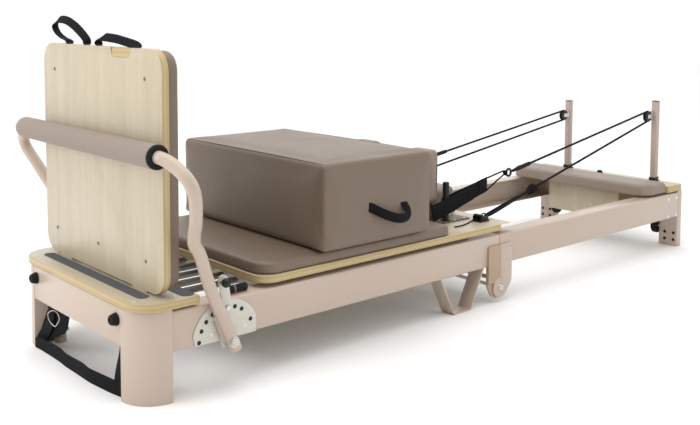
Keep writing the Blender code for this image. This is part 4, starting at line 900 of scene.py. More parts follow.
def spring_set():
    refined("spring_bar", "black moulding", "foot_frame", 0.0012)
    start, end, tail = 0.1998, 0.4192, 0.010
    curls, steps = 78, 10
    points = [Vector((start, 0, SPRING_AXIS)), Vector((start + tail * 0.6, 0, SPRING_AXIS))]
    total = curls * steps
    for step in range(total + 1):
        share = step / total
        angle = 2 * math.pi * step / steps
        radius = 0.0088 * min(1, 0.40 + share * 22, 0.40 + (1 - share) * 22)
        points.append(Vector((start + tail + (end - start - 2 * tail) * share,
                              radius * math.sin(angle),
                              SPRING_AXIS + radius * math.cos(angle))))
    points += [Vector((end - tail * 0.6, 0, SPRING_AXIS)), Vector((end, 0, SPRING_AXIS))]
    coil = swept(points, ring(size_of("spring_wire"), 6), across=(0, 1, 0))
    for number, y in enumerate((-0.13, -0.065, 0.0, 0.065, 0.13), 1):
        turn = coil.copy()
        bmesh.ops.translate(turn, verts=turn.verts, vec=(0, y, 0))
        made = deliver(turn, "spring_coil_" + str(number), "spring steel", None,
                       "spring_" + str(number), keep_normals=True)
        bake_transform(made)
        sleeve = lathed([(0, 0), (0.0058, 0), (0.0062, 0.002), (0.0062, 0.018), (0.0052, 0.021),
                         (0.0024, 0.022), (0, 0.022)], (0.188, y, SPRING_AXIS), (1, 0, 0), 24)
        deliver(sleeve, "spring_sleeve_" + str(number), "black moulding", "foot_frame")
    coil.free()


def floor_strap():
    """Pull strap in the foot-end opening: along the floor, up at both ends, with a ring."""
    def ribbon(line, size, swell, lift):
        route = eased(line, 6)
        count = len(route) - 1
        guides, width = [], []
        for index in range(count + 1):
            before, after = route[max(0, index - 1)], route[min(count, index + 1)]
            ahead = (after - before).normalized()
            guides.append(Vector(lift) if lift else Vector((1, 0, 0)).cross(ahead))
            share = index / count * (len(swell) - 1)
            low = min(int(share), len(swell) - 2)
            width.append(swell[low] + (swell[low + 1] - swell[low]) * (share - low))
        form = swept(route, band(size, 0.0026), across=guides, swell=width)
        for vert in form.verts:
            vert.co.z = min(max(vert.co.z, 0.0005), 0.1328)
            if vert.co.x > 0.0015:
                vert.co.y = min(max(vert.co.y, -0.2424), 0.2424)
        return form

    along = ribbon([(0.0040, 0.2400, 0.0115), (-0.0030, 0.2330, 0.0135), (-0.0015, 0.2000, 0.0170),
                    (-0.0005, 0.1500, 0.0182), (-0.0010, 0.0900, 0.0196), (-0.0030, 0.0450, 0.0172),
                    (-0.0034, 0.0000, 0.0180), (-0.0040, -0.0500, 0.0196), (-0.0040, -0.0900, 0.0176),
                    (0.0010, -0.1500, 0.0182), (0.0060, -0.1900, 0.0180), (0.0100, -0.2150, 0.0190),
                    (0.0115, -0.2330, 0.0200)], 0.037,
                   (0.55, 0.70, 0.92, 1.0, 1.03, 0.98, 1.0, 1.03, 0.98, 1.0, 1.0, 1.0, 0.95),
                   (0, 0, 1))
    near = ribbon([(0.0120, -0.2130, 0.0040), (0.0122, -0.2080, 0.0300), (0.0122, -0.2165, 0.0620),
                   (0.0118, -0.2300, 0.0970), (0.0112, -0.2360, 0.1310)], 0.038,
                  (0.9, 1.05, 1.0, 0.95, 0.7), None)
    far = ribbon([(0.0040, 0.2360, 0.0120), (0.0080, 0.2220, 0.0260), (0.0110, 0.2060, 0.0420),
                  (0.0110, 0.1820, 0.0660), (0.0110, 0.1640, 0.0950), (0.0110, 0.1580, 0.1310)],
                 0.038, (0.55, 0.85, 1.0, 1.05, 1.0, 1.0), None)
    loose = ribbon([(0.0060, 0.2340, 0.0120), (0.0120, 0.2060, 0.0330), (0.0160, 0.1720, 0.0560),
                    (0.0190, 0.1380, 0.0760), (0.0190, 0.1080, 0.0960), (0.0170, 0.0900, 0.1310)],
                   0.038, (0.5, 0.85, 1.1, 1.3, 1.45, 1.5), None)
    deliver(joined(along, near, far, loose), "pull_strap", "black webbing", "foot_frame",
            "foot_strap", keep_normals=True)
    corners = [(0.0060, 0.168, 0.108), (0.0055, 0.1605, 0.0900), (0.0050, 0.1320, 0.0830),
               (0.0045, 0.1160, 0.0880), (0.0050, 0.0970, 0.1130), (0.0070, 0.1300, 0.1240)]
    deliver(swept(eased(corners, 6, closed=True), ring(0.0014, 10), closed=True,
                  across=(1, 0, 0)), "strap_ring", "bright steel", "foot_frame",
            keep_normals=True)


# Head half
POST_X = 2.364
POST_OUT = {"near": 0.218, "far": 0.190}
POST_TOP = {"near": 0.565, "far": 0.537}
SHEAVE_X = 2.315


def head_rails():
    for side_name, side in SIDES:
        refined("head_rail_" + side_name, "powder coat", "head_frame", 0.0012)
        places = [(x, side * RAIL_FACE, z) for x in (2.291, 2.349) for z in (0.196, 0.128)]
        screws("rail_end_screws_" + side_name, "white zinc", "head_frame", places,
               (0, side, 0), 0.0058, 0.0018)
        refined("head_leg_" + side_name, "powder coat", "head_frame", 0.0010, 35)
        # Black discs at the leg's four holes: painted shade standing for the holes' dark inside.
        holes = [lathed([(0, 0.0004), (0.0042, 0.0004), (0.0050, 0.0008), (0.0058, 0.0008),
                         (0.0064, 0.0), (0, -0.0004)], (TRANSPORT_AT[0], side * y, z), (-1, 0, 0), 28)
                 for y in (0.275, 0.312) for z in (0.025, 0.052)]
        deliver(joined(*holes), "leg_hole_shades_" + side_name, "black moulding", "head_frame",
                keep_normals=True)
        centre = (TRANSPORT_AT[0], side * TRANSPORT_AT[1], TRANSPORT_AT[2])
        tread = mirrored([(0.0045, -0.0095), (0.0120, -0.0100), (0.0130, -0.0082),
                          (0.0200, -0.0070), (0.0225, -0.0088), (0.0270, -0.0100),
                          (0.0293, -0.0080), (0.0300, -0.0040)])
        tyre = lathed(tread, centre, (0, side, 0), 56)
        deliver(tyre, "transport_tyre_" + side_name, "black rubber",
                "transport_wheel_" + side_name + "_body", "transport_wheel_" + side_name)
        hub = lathed([(0.0045, 0.0096), (0.0110, 0.0104), (0.0116, 0.0100), (0.0116, 0.0094),
                      (0.0045, 0.0090)], centre, (0, -side, 0), 40)
        deliver(hub, "transport_hub_" + side_name, "bright steel",
                "transport_wheel_" + side_name + "_body")
    refined("head_end_beam", "powder coat", "head_frame", 0.0010)


def head_deck():
    deck = brick((2.286, 2.390), (-RAIL_FACE, RAIL_FACE), (HEAD_DECK_BOTTOM, HEAD_DECK_TOP), 0)
    outer = [edge for edge in edges_along(deck, 2, 0.01) if edge.verts[0].co.x > 2.38]
    bevelled(deck, outer, 0.010, 6)
    rounded_edges(deck, 0.0015, 50)
    deliver(deck, "head_platform_board", "birch flat", "head_frame", "head_platform")
    panel = brick((2.2000, 2.2050), (-0.1648, 0.1648), (0.100, 0.2213), 0.0008)
    deliver(panel, "support_panel", "birch upright", "head_frame", "head_platform")
    for side_name, side in SIDES:
        web = sheet_form([(2.2052, 0.1005), (2.352, 0.1005), (2.352, 0.2216), (2.2052, 0.2212)],
                         "XZ", side * 0.1600, side * 0.1648, 0.0006)
        deliver(web, "panel_return_" + side_name, "birch deck", "head_frame", "head_platform")
        x, y = POST_X, side * POST_OUT[side_name]
        flange = brick((x - 0.0175, x + 0.0175), (y - 0.0175, y + 0.0175), (HEAD_DECK_TOP, SOCKET_TOP),
                       0.0007)
        collar = lathed([(0.0166, 0), (0.0196, 0), (0.0198, 0.0030), (0.0188, 0.0110),
                         (0.0180, 0.0122), (0.0166, 0.0122)], (x, y, SOCKET_TOP), (0, 0, 1), 4)
        bmesh.ops.rotate(collar, verts=collar.verts, cent=(x, y, 0),
                         matrix=Matrix.Rotation(math.pi / 4, 3, "Z"))
        rounded_edges(collar, 0.0010, 40)
        deliver(joined(flange, collar), "post_socket_" + side_name, "black moulding",
                "head_frame", "head_platform", keep_normals=True)
        screws("socket_screws_" + side_name, "screw zinc", "head_frame",
               [(x + dx, y + dy, SOCKET_TOP) for dx in (-0.0150, 0.0150)
                for dy in (-0.0150, 0.0150)],
               (0, 0, 1), 0.0022, 0.0007)
        refined("post_" + side_name, "pale powder coat", "head_frame", 0.0014)
        top = POST_TOP[side_name]
        cap = brick((x - 0.0112, x + 0.0112), (y - 0.0112, y + 0.0112), (top - 0.0025, top + 0.0015),
                    0.0012)
        deliver(cap, "post_cap_" + side_name, "black moulding", "head_frame")
        knob_profile = [(0, 0), (0.0060, 0), (0.0064, 0.0006), (0.0064, 0.0012),
                        (0.0084, 0.0018), (0.0087, 0.0025), (0.0087, 0.0060), (0.0080, 0.0072),
                        (0.0045, 0.0076), (0, 0.0076)]
        knob_at = (CLAMP_KNOB_X, y, CLAMP_KNOB_Z)
        knob = lathed(knob_profile, knob_at, (1, 0, 0), 36)
        knurl(knob, knob_at, 0, 0.0078, 12, 0.0005)
        deliver(knob, "clamp_grip_" + side_name, "black moulding",
                "clamp_knob_" + side_name + "_body", "clamp_knob_" + side_name)
    mushroom = lathed([(0, 0), (0.0128, 0), (0.0140, 0.0008), (0.0142, 0.0030), (0.0120, 0.0062),
                       (0.0100, 0.0072), (0.0106, 0.0090), (0.0104, 0.0118), (0.0080, 0.0142),
                       (0.0035, 0.0148), (0, 0.0148)], (2.340, 0.015, 0.2473), (0, 0, 1), 44)
    deliver(mushroom, "platform_mushroom", "black moulding", "platform_knob_body",
            "platform_knob")


def sheave_height(side_name):
    return POST_TOP[side_name] - SHEAVE_DROP


def knurl(bm, centre, axis, reach, count, depth):
    """Flutes pressed into the rim of a round grip."""
    others = [index for index in range(3) if index != axis]
    for vert in bm.verts:
        off = vert.co - Vector(centre)
        radius = math.hypot(off[others[0]], off[others[1]])
        if radius > reach:
            angle = math.atan2(off[others[1]], off[others[0]])
            pull = depth * (1 + math.cos(count * angle)) / 2 / radius
            for index in others:
                vert.co[index] -= off[index] * pull


def pulleys():
    for side_name, side in SIDES:
        y, height = side * (POST_OUT[side_name] - SHEAVE_INSET), sheave_height(side_name)
        centre = (SHEAVE_X, y, height)
        axis = (0, side, 0)
        body = "pulley_sheave_" + side_name + "_body"
        half = [(0.0036, -0.0060), (0.0080, -0.0060), (0.0090, -0.0050), (0.0155, -0.0050),
                (0.0170, -0.0065), (0.0206, -0.0065), (0.0210, -0.0061), (0.0170, -0.0040),
                (0.0140, -0.0020)]
        groove = half + [(0.0135, 0.0)] + mirrored(half)[len(half):]
        wheel = lathed(groove, centre, axis, 64)
        deliver(wheel, "rope_sheave_" + side_name, "black moulding", body,
                "pulley_sheave_" + side_name)
        bearing = lathed(mirrored([(0.0034, -0.0062), (0.0066, -0.0062)]), centre, axis, 40)
        deliver(bearing, "sheave_bearing_" + side_name, "bright steel", body)
        yoke_body = "pulley_bracket_" + side_name + "_body"
        cheeks = []
        for face in (-1, 1):
            cheek = sheet_form([(2.306, height - 0.008), (2.344, height - 0.008),
                                (2.344, height + 0.008), (2.306, height + 0.008)],
                               "XZ", y + face * 0.0071, y + face * 0.0089)
            short = [edge for edge in cheek.edges if edge.verts[0].co.x < 2.31
                     and edge.verts[1].co.x < 2.31
                     and abs(edge.verts[0].co.z - edge.verts[1].co.z) < 0.001]
            bevelled(cheek, short, 0.0078, 8)
            rounded_edges(cheek, 0.0004, 50)
            cheeks.append(cheek)
        bridge = brick((2.3394, 2.3440), (y - 0.0090, y + 0.0090),
                       (height - 0.0078, height + 0.0078), 0.0010)
        barrel = lathed(mirrored([(0, -0.012), (0.0040, -0.012), (0.0045, -0.0112)]),
                        (SWIVEL_X, y, height), (0, 0, 1), 36)
        pin = lathed(mirrored([(0, -0.0102), (0.0040, -0.0100), (0.0044, -0.0090),
                               (0.0029, -0.0088)]), centre, axis, 32)
        deliver(joined(*cheeks, bridge, barrel, pin), "pulley_yoke_" + side_name, "bright steel",
                yoke_body, "pulley_bracket_" + side_name, keep_normals=True)
        bolt = lathed([(0, 0.0185), (0.0030, 0.0185), (0.0034, 0.0200), (0.0052, 0.0200),
                       (0.0056, 0.0208), (0.0050, 0.0232), (0, 0.0234)],
                      (SWIVEL_X, y, height - 0.002), (0, 0, 1), 28)
        deliver(bolt, "swivel_bolt_" + side_name, "bright steel", "head_frame")


ORBIT = 0.0192
ROPE_START = (1.4955, 0.195, 0.3765)
KNOT = (1.536, 0.2480, 0.3180)
ROPE_END = (1.293, 0.2504, 0.2614)


def sheave_middle(side_name):
    return Vector((SHEAVE_X, POST_OUT[side_name] - SHEAVE_INSET, sheave_height(side_name)))


def tangent(point, side_name, side_of):
    """Angle on the sheave at which a straight run from the point touches the rope's orbit."""
    off = Vector(point) - sheave_middle(side_name)
    return math.atan2(off.z, off.x) % (2 * math.pi) + side_of * math.acos(
        ORBIT / math.hypot(off.x, off.z))


def on_orbit(angle, side_name):
    return sheave_middle(side_name) + Vector((ORBIT * math.cos(angle), 0,
                                              ORBIT * math.sin(angle)))


def run_between(start, end, steps, bulge=()):
    """Points and sizes of a straight run; bulge is (distance from start, size) pairs."""
    start, end = Vector(start), Vector(end)
    length = (end - start).length
    stops = sorted([length * k / steps for k in range(steps + 1)]
                   + [distance for distance, _ in bulge])
    clean = [stops[0]]
    for stop in stops[1:]:
        if stop - clean[-1] > 0.0012:
            clean.append(stop)
    sizes = []
    for stop in clean:
        size = 1.0
        for (a, low), (b, high) in zip(bulge, bulge[1:]):
            if a <= stop <= b:
                size = low + (high - low) * (stop - a) / max(b - a, 1e-6)
        sizes.append(size)
    return [start.lerp(end, stop / length) for stop in clean], sizes


def squashed(made):
    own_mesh(made)


def rope_lines():
    """Each rope: wrap on the sheave, upper run with its sleeve, lower run with its knot."""
    knot_at, end_at = Vector(KNOT), Vector(ROPE_END)
    braid = ring(size_of("rope"), 12)
    for side_name, side in SIDES:
        top_angle = tangent(ROPE_START, side_name, -1)
        low_angle = tangent(KNOT, side_name, 1) - 2 * math.pi
        top, low = on_orbit(top_angle, side_name), on_orbit(low_angle, side_name)
        along = (low - knot_at).normalized()

        def placed(points):
            return [Vector((p.x, side * p.y, p.z)) for p in points]

        wrap = [on_orbit(top_angle + (low_angle - top_angle) * k / 24, side_name)
                for k in range(25)]
        deliver(swept(placed(wrap), braid, across=(0, 1, 0)), "rope_wrap_" + side_name,
                "black braid", "head_frame", "rope_" + side_name, keep_normals=True)

        upper, sizes = run_between(ROPE_START, top, 60)
        made = deliver(swept(placed(upper), braid, across=(0, 1, 0), swell=sizes),
                       "rope_upper_" + side_name, "black braid", "head_frame",
                       "rope_" + side_name, keep_normals=True)
        squashed(made)
        sleeve, sizes = run_between(Vector(ROPE_START).lerp(top, 0.003),
                                    Vector(ROPE_START).lerp(top, 0.120), 20,
                                    [(0, 1.1), (0.006, 1.5), (0.012, 1.35), (0.022, 1.75),
                                     (0.030, 1.95), (0.088, 1.85), (0.094, 1.6), (0.100, 1.1)])
        made = deliver(swept(placed(sleeve), braid, across=(0, 1, 0), swell=sizes),
                       "rope_sleeve_" + side_name, "black rubber", "head_frame",
                       "rope_" + side_name, keep_normals=True)
        squashed(made)

        lower, sizes = run_between(low, knot_at, 60)
        strands = []
        for shift in (0.0058, -0.0058):
            points = eased([knot_at - along * 0.006 + Vector((0, shift * 0.4, shift * 0.3)),
                            knot_at - along * 0.040 + Vector((0, shift * 0.55, shift * 0.2)),
                            knot_at.lerp(end_at, 0.5) + Vector((0, shift * 0.9, -0.002)),
                            end_at + Vector((0.050, shift * 1.2, 0.0090)),
                            end_at + Vector((0.012, shift * 1.0, 0)),
                            end_at], 8)
            strands.append(swept(placed(points), ring(0.0040, 12), across=(0, 1, 0)))
        body, body_sizes = run_between(knot_at - along * 0.029, knot_at + along * 0.027, 22,
                                       [(0, 1.1), (0.006, 2.0), (0.014, 2.9), (0.024, 3.4),
                                        (0.034, 3.5), (0.044, 3.0), (0.051, 2.0), (0.056, 1.0)])
        core = swept(placed(body), braid, across=(0, 1, 0), swell=body_sizes)
        core.normal_update()
        pushed(core, 0.0012, 110.0, 3.0)
        knot = [core]
        for number, (shift, tilt, radius) in enumerate(((-0.014, 0.35, 0.0100),
                                                        (-0.003, -0.30, 0.0126),
                                                        (0.008, 0.25, 0.0122))):
            centre = knot_at + along * shift
            points = []
            for step in range(20):
                a = step * math.pi / 10
                points.append(centre + Vector((0, radius * math.cos(a), radius * math.sin(a)))
                              + along * (radius * tilt * math.sin(a + number)))
            knot.append(swept(placed(points), ring(0.0036, 10), closed=True, across=(1, 0, 0)))
        for lean, rise in ((0.0045, 0.0070), (-0.0045, -0.0050)):
            tail = eased([knot_at + along * 0.016 + Vector((0, lean, 0)),
                          knot_at + along * 0.034 + Vector((0, lean * 1.6, rise * 0.7)),
                          knot_at + along * 0.052 + Vector((0, lean * 2.0, rise))], 6)
            knot.append(swept(placed(tail), ring(0.0030, 10), across=(0, 1, 0)))
        for form, label in (
                (swept(placed(lower), braid, across=(0, 1, 0), swell=sizes), "lower"),
                (joined(*strands), "strands"), (joined(*knot), "knot")):
            made = deliver(form, "rope_" + label + "_" + side_name, "black braid", "head_frame",
                           "rope_" + side_name, keep_normals=True)
            squashed(made)


def foot_loops():
    """Webbing loops round the strap posts, each with a cord triangle and a ring."""
    post_x, post_y = STRAP_POST
    webbing = size_of("foot_loop")
    for side_name, side in SIDES:
        body = "shoulder_rest_" + side_name + "_body"

        def rise(x):
            return 0.299 + 0.246 * (x - post_x)

        flat = [(1.3605, 0.1938), (1.300, 0.1945), (1.245, 0.1965), (1.195, 0.1985)]
        angles = [math.radians(75 + 21 * k) for k in range(11)]
        radius = 0.0124
        flat += [(post_x + radius * math.cos(a), post_y + radius * math.sin(a)) for a in angles]
        flat += [(1.200, 0.1762), (1.250, 0.1790), (1.305, 0.1865), (1.3605, 0.1905)]
        route = eased([(x, side * y, rise(x)) for x, y in flat], 4)
        belt = swept(route, band(webbing, 0.0024), across=[(0, 0, 1)] * len(route))
        cuff = eased([(x, side * y, rise(x) + lift) for x, y, lift in
                      ((1.2900, 0.1972, 0), (1.2300, 0.1992, 0.001), (1.1800, 0.2022, 0.002),
                       (1.1350, 0.2030, 0.004), (1.0980, 0.2020, 0.006))], 5)
        wide = [1.0 + 0.22 * index / (len(cuff) - 1) for index in range(len(cuff))]
        pad = swept(cuff, band(webbing, 0.0044), across=[(0, 0, 1)] * len(cuff), swell=wide)
        deliver(joined(belt, pad), "loop_webbing_" + side_name, "black webbing", body,
                "foot_loop_" + side_name, keep_normals=True)
        fold = eased([(x, side * y, rise(x)) for x, y in
                      ((1.328, 0.1961), (1.348, 0.1957), (1.362, 0.1940), (1.3646, 0.1921),
                       (1.362, 0.1903), (1.348, 0.1870), (1.328, 0.1864))], 4)
        deliver(swept(fold, band(0.0440, 0.0016), across=[(0, 0, 1)] * len(fold)),
                "loop_fold_" + side_name, "black webbing", body, "foot_loop_" + side_name,
                keep_normals=True)
        ring_x, ring_y, ring_z = LOOP_RING[0], side * LOOP_RING[1], LOOP_RING[2]
        hoop = [Vector((ring_x + 0.0118 * math.cos(a), ring_y, ring_z + 0.0118 * math.sin(a)))
                for a in (k * math.pi / 20 for k in range(40))]
        deliver(swept(hoop, ring(0.0040, 12), closed=True, across=(0, 1, 0)),
                "loop_ring_" + side_name, "black moulding", body, "foot_loop_" + side_name,
                keep_normals=True)
        cords = []
        for low, shift in ((0.3250, -0.0030), (0.3670, 0.0030)):
            points = eased([(1.3645, side * 0.192, 0.346), (1.3655, side * 0.192, low),
                            (1.3780, side * 0.1922, low + (ring_z - low) * 0.13),
                            (ring_x - 0.030, side * 0.1945, ring_z + shift * 2.4),
                            (ring_x - 0.012, side * 0.195, ring_z + shift),
                            (ring_x - 0.0095, side * 0.195, ring_z)], 8)
            cords.append(swept(points, ring(0.0027, 10), across=(0, 1, 0)))
        for turn in range(2):
            centre = Vector((ring_x - 0.0155 - 0.0050 * turn, ring_y, ring_z))
            hitch = [centre + Vector((0, 0.0048 * math.cos(a), 0.0062 * math.sin(a)))
                     for a in (k * math.pi / 8 for k in range(16))]
            cords.append(swept(hitch, ring(0.0026, 8), closed=True, across=(1, 0, 0)))
        bar = lathed(mirrored([(0, -0.0225), (0.0030, -0.0225), (0.0034, -0.0215)]),
                     (1.3652, side * 0.192, 0.3457), (0, 0, 1), 16)
        deliver(joined(bar, *cords), "loop_cords_" + side_name, "black braid", body,
                "foot_loop_" + side_name, keep_normals=True)


# Carriage
def carriage_base():
    board = slab_form((0.349, 1.332), (-0.324, 0.324), (BOARD_BOTTOM, BOARD_TOP), 0.0012,
                      ((-1, -1, 0.050), (-1, 1, 0.050)))
    corners = [edge for edge in edges_along(board, 2, 0.012)
               if edge.verts[0].co.x > 1.32 and edge.verts[1].co.x > 1.32
               and abs(edge.verts[0].co.y) > 0.31]
    bevelled(board, corners, 0.048, 1)
    deliver(board, "carriage_ply", "birch deck", "carriage", "carriage_board")
    for side_name, side in SIDES:
        cam_cleat(side_name, side)
    refined("carriage_frame", "satin plate", "carriage", 0.0006, 35)
    for side_name, side in SIDES:
        for end_name, x in (("foot", 0.42), ("head", 1.18)):
            tread = mirrored([(0.0055, -0.0098), (0.0115, -0.0100), (0.0125, -0.0080),
                              (0.0195, -0.0080), (0.0215, -0.0105), (0.0258, -0.0110),
                              (0.0276, -0.0095), (0.0280, -0.0060)])
            wheel = lathed(tread, (x, side * WHEEL_Y, WHEEL_Z), (0, side, 0), 56)
            name = "carriage_wheel_" + end_name + "_" + side_name
            deliver(wheel, "track_" + name, "black moulding", name + "_body", name)


def cam_cleat(side_name, side):
    """Rope cleat: base with two toothed cams, a fairlead and the rope's loose tail."""
    middle = side * CLEAT_Y
    base = brick((1.2465, 1.2925), (middle - 0.0188, middle + 0.0188),
                 (BOARD_TOP, CLEAT_BASE_TOP), 0.0012)
    cams = []
    for face in (-1, 1):
        cam_at = (CAM_X, middle + face * 0.0116, CLEAT_BASE_TOP)
        cam = lathed([(0, 0), (0.0078, 0), (0.0084, 0.0010), (0.0084, 0.0120), (0.0074, 0.0135),
                      (0, 0.0138)], cam_at, (0, 0, 1), 36)
        knurl(cam, cam_at, 2, 0.0076, 14, 0.0008)
        cams.append(cam)
        cams.append(brick((1.2520, 1.2860), (middle + face * 0.0160 - 0.0024,
                                             middle + face * 0.0160 + 0.0024),
                          (0.2512, 0.2640), 0.0010))
    arch = swept(eased([(1.2885, middle - 0.0140, 0.2505), (1.2885, middle - 0.0120, 0.2620),
                        (1.2885, middle, 0.2695), (1.2885, middle + 0.0120, 0.2620),
                        (1.2885, middle + 0.0140, 0.2505)], 6), ring(0.0021, 10),
                 across=(1, 0, 0))
    lid = brick((1.2500, 1.2660), (middle - 0.0150, middle + 0.0150), (0.2655, 0.2705), 0.0018)
    deliver(joined(base, *cams, arch, lid), "cam_cleat_" + side_name, "black moulding",
            "carriage", "carriage_board", keep_normals=True)
    tail = eased([(1.2935, middle, 0.2590), (1.2700, middle, 0.2585), (1.2480, middle, 0.2580),
                  (1.2380, middle - side * 0.002, 0.2530), (1.2250, middle - side * 0.006, 0.2494),
                  (1.2000, middle + side * 0.004, 0.2493), (1.1650, middle + side * 0.012, 0.2493),
                  (1.1350, middle + side * 0.010, 0.2493)], 6)
    deliver(swept(tail, ring(0.0021, 10), across=(0, 1, 0)), "rope_tail_" + side_name,
            "black braid", "carriage", keep_normals=True)
    screws("cleat_screws_" + side_name, "screw zinc", "carriage",
           [(1.2495, middle, CLEAT_BASE_TOP)], (0, 0, 1), 0.0022, 0.0006)


def carriage_cushion():
    form = slab_form((0.3530, 1.0565), (-0.3220, 0.3220), (0.2475, 0.2785), 0.009,
                     ((-1, -1, 0.055), (-1, 1, 0.055), (1, -1, 0.020), (1, 1, 0.020)))
    puffed(form, "carriage_upholstery", "taupe hide", "carriage", "carriage_pad", 0.0022, 0.006,
           (2, 0.2475, 1))


def shoulder_rests():
    for side_name, side in SIDES:
        body = "shoulder_rest_" + side_name + "_body"
        form = cube((0.050, 0.095, 0.172), (1.1275, side * 0.130, 0.3945))
        rounded_edges(form, 0.013, 30, 5)
        puffed(form, "shoulder_cushion_" + side_name, "light hide", body,
               "shoulder_rest_" + side_name, 0.0026, 0.0042, None)
        backing = sheet_form([(side * 0.0920, 0.3250), (side * 0.1680, 0.3250),
                              (side * 0.1680, 0.4650), (side * 0.0920, 0.4650)], "YZ",
                             1.1515, 1.1548, 0.0008, {0: 0.012, 1: 0.012, 2: 0.012, 3: 0.012})
        deliver(backing, "shoulder_backing_" + side_name, "black moulding", body)
        base = brick((1.148, 1.270), (side * 0.118, side * 0.207), (0.2474, REST_PLATE_TOP), 0.0008)
        riser = brick((1.1550, 1.1586), (side * 0.113, side * 0.147), (0.2490, 0.4000), 0.0008)
        gusset = sheet_form([(1.1580, 0.2500), (1.1950, 0.2500), (1.1580, 0.2950)], "XZ",
                            side * 0.1285, side * 0.1315, 0.0005)
        deliver(joined(base, riser, gusset), "shoulder_plate_" + side_name, "dark plate", body,
                "shoulder_rest_" + side_name, keep_normals=True)
        post = lathed([(0, 0), (0.0150, 0), (0.0154, 0.0010), (0.0150, 0.0036), (0.0112, 0.0050),
                       (0.0104, 0.0070), (0.0104, 0.1200), (0.0100, 0.1230), (0.0085, 0.1245),
                       (0, 0.1250)], (STRAP_POST[0], side * STRAP_POST[1], REST_PLATE_TOP),
                      (0, 0, 1), 40)
        deliver(post, "strap_post_" + side_name, "black moulding", body,
                "shoulder_rest_" + side_name)
        screws("rest_screws_" + side_name, "screw zinc", body,
               [(x, side * y, REST_PLATE_TOP) for x in (1.2080, 1.2540)
                for y in (0.130, 0.195)],
               (0, 0, 1), 0.0042, 0.0012)
        screws("backing_screws_" + side_name, "screw zinc", body,
               [(1.1586, side * 0.130, z) for z in (0.335, 0.375)], (1, 0, 0), 0.0036, 0.0011)


def head_cushion():
    ply = brick((1.1935, 1.3105), (-0.105, 0.105), (0.2474, 0.2610), 0.0012)
    deliver(ply, "headrest_ply", "birch deck", "headrest_body", "headrest")
    form = slab_form((1.1945, 1.3095), (-0.1075, 0.1075), (0.2612, 0.3370), 0.014,
                     ((-1, -1, 0.02), (-1, 1, 0.02), (1, -1, 0.02), (1, 1, 0.02)))
    puffed(form, "headrest_cushion", "light hide", "headrest_body", "headrest", 0.0028, 0.0045,
           (2, 0.2612, 1))


def sitting_box():
    form = slab_form((0.5360, 0.9450), (-0.3445, 0.3445), (0.2818, 0.5180), 0.011, (),
                     flat_low=False)
    puffed(form, "sitting_box", "taupe hide", "box_body", "box", 0.0030, 0.006,
           (2, 0.2818, 1))
    for number, x in enumerate((0.5450, 0.9330), 1):
        line = eased([(x, -0.3270, 0.5135), (x, -0.1500, 0.5150), (x, 0.0, 0.5153),
                      (x, 0.1500, 0.5150), (x, 0.3270, 0.5135)], 12)
        deliver(swept(line, ring(0.0009, 8), across=(0, 0, 1)), "box_seam_" + str(number),
                "hide seam", "box_body", keep_normals=True)
    for side_name, side in SIDES:
        box_handle(side_name, side)


def box_handle(side_name, side):
    """Webbing handle riveted to the box's end, hanging out and curling back to its rivet."""
    face = 0.3410
    line = [(0.650, 0.0012, 0.3880), (0.663, 0.0014, 0.3880), (0.682, 0.0025, 0.3870),
            (0.700, 0.0090, 0.3815), (0.716, 0.0170, 0.3725), (0.738, 0.0250, 0.3610),
            (0.764, 0.0300, 0.3505), (0.786, 0.0310, 0.3450), (0.806, 0.0290, 0.3440),
            (0.822, 0.0240, 0.3470), (0.829, 0.0200, 0.3550), (0.829, 0.0160, 0.3640),
            (0.827, 0.0100, 0.3740), (0.825, 0.0040, 0.3850), (0.825, 0.0015, 0.3920),
            (0.827, 0.0010, 0.3990)]
    turns = [(0, 0, 1)] * 3 + [(0.2, 0, 1), (0.35, 0, 0.95), (0.40, 0, 0.9), (0.35, 0, 0.95),
             (0.15, 0, 1), (-0.15, 0, 1), (-0.7, 0, 0.7), (-1, 0, 0.3), (-1, 0, 0), (-1, 0, 0),
             (-1, 0, 0), (-1, 0, 0), (-1, 0, 0)]
    route = eased([(x, side * (face + out), z) for x, out, z in line], 5)
    width = size_of("box_handle")
    strap = swept(route, band(width, 0.0022), across=spread(turns, len(route)))
    deliver(strap, "box_strap_" + side_name, "black webbing", "box_body", keep_normals=True)
    rivets = [lathed([(0, 0.0032), (0.0044, 0.0029), (0.0076, 0.0016), (0.0085, 0.0),
                      (0, 0.0)], (x, side * (face + 0.0020), z), (0, side, 0), 28)
              for x, z in ((0.663, 0.3880), (0.826, 0.3910))]
    deliver(joined(*rivets), "box_rivets_" + side_name, "bright steel", "box_body",
            keep_normals=True)


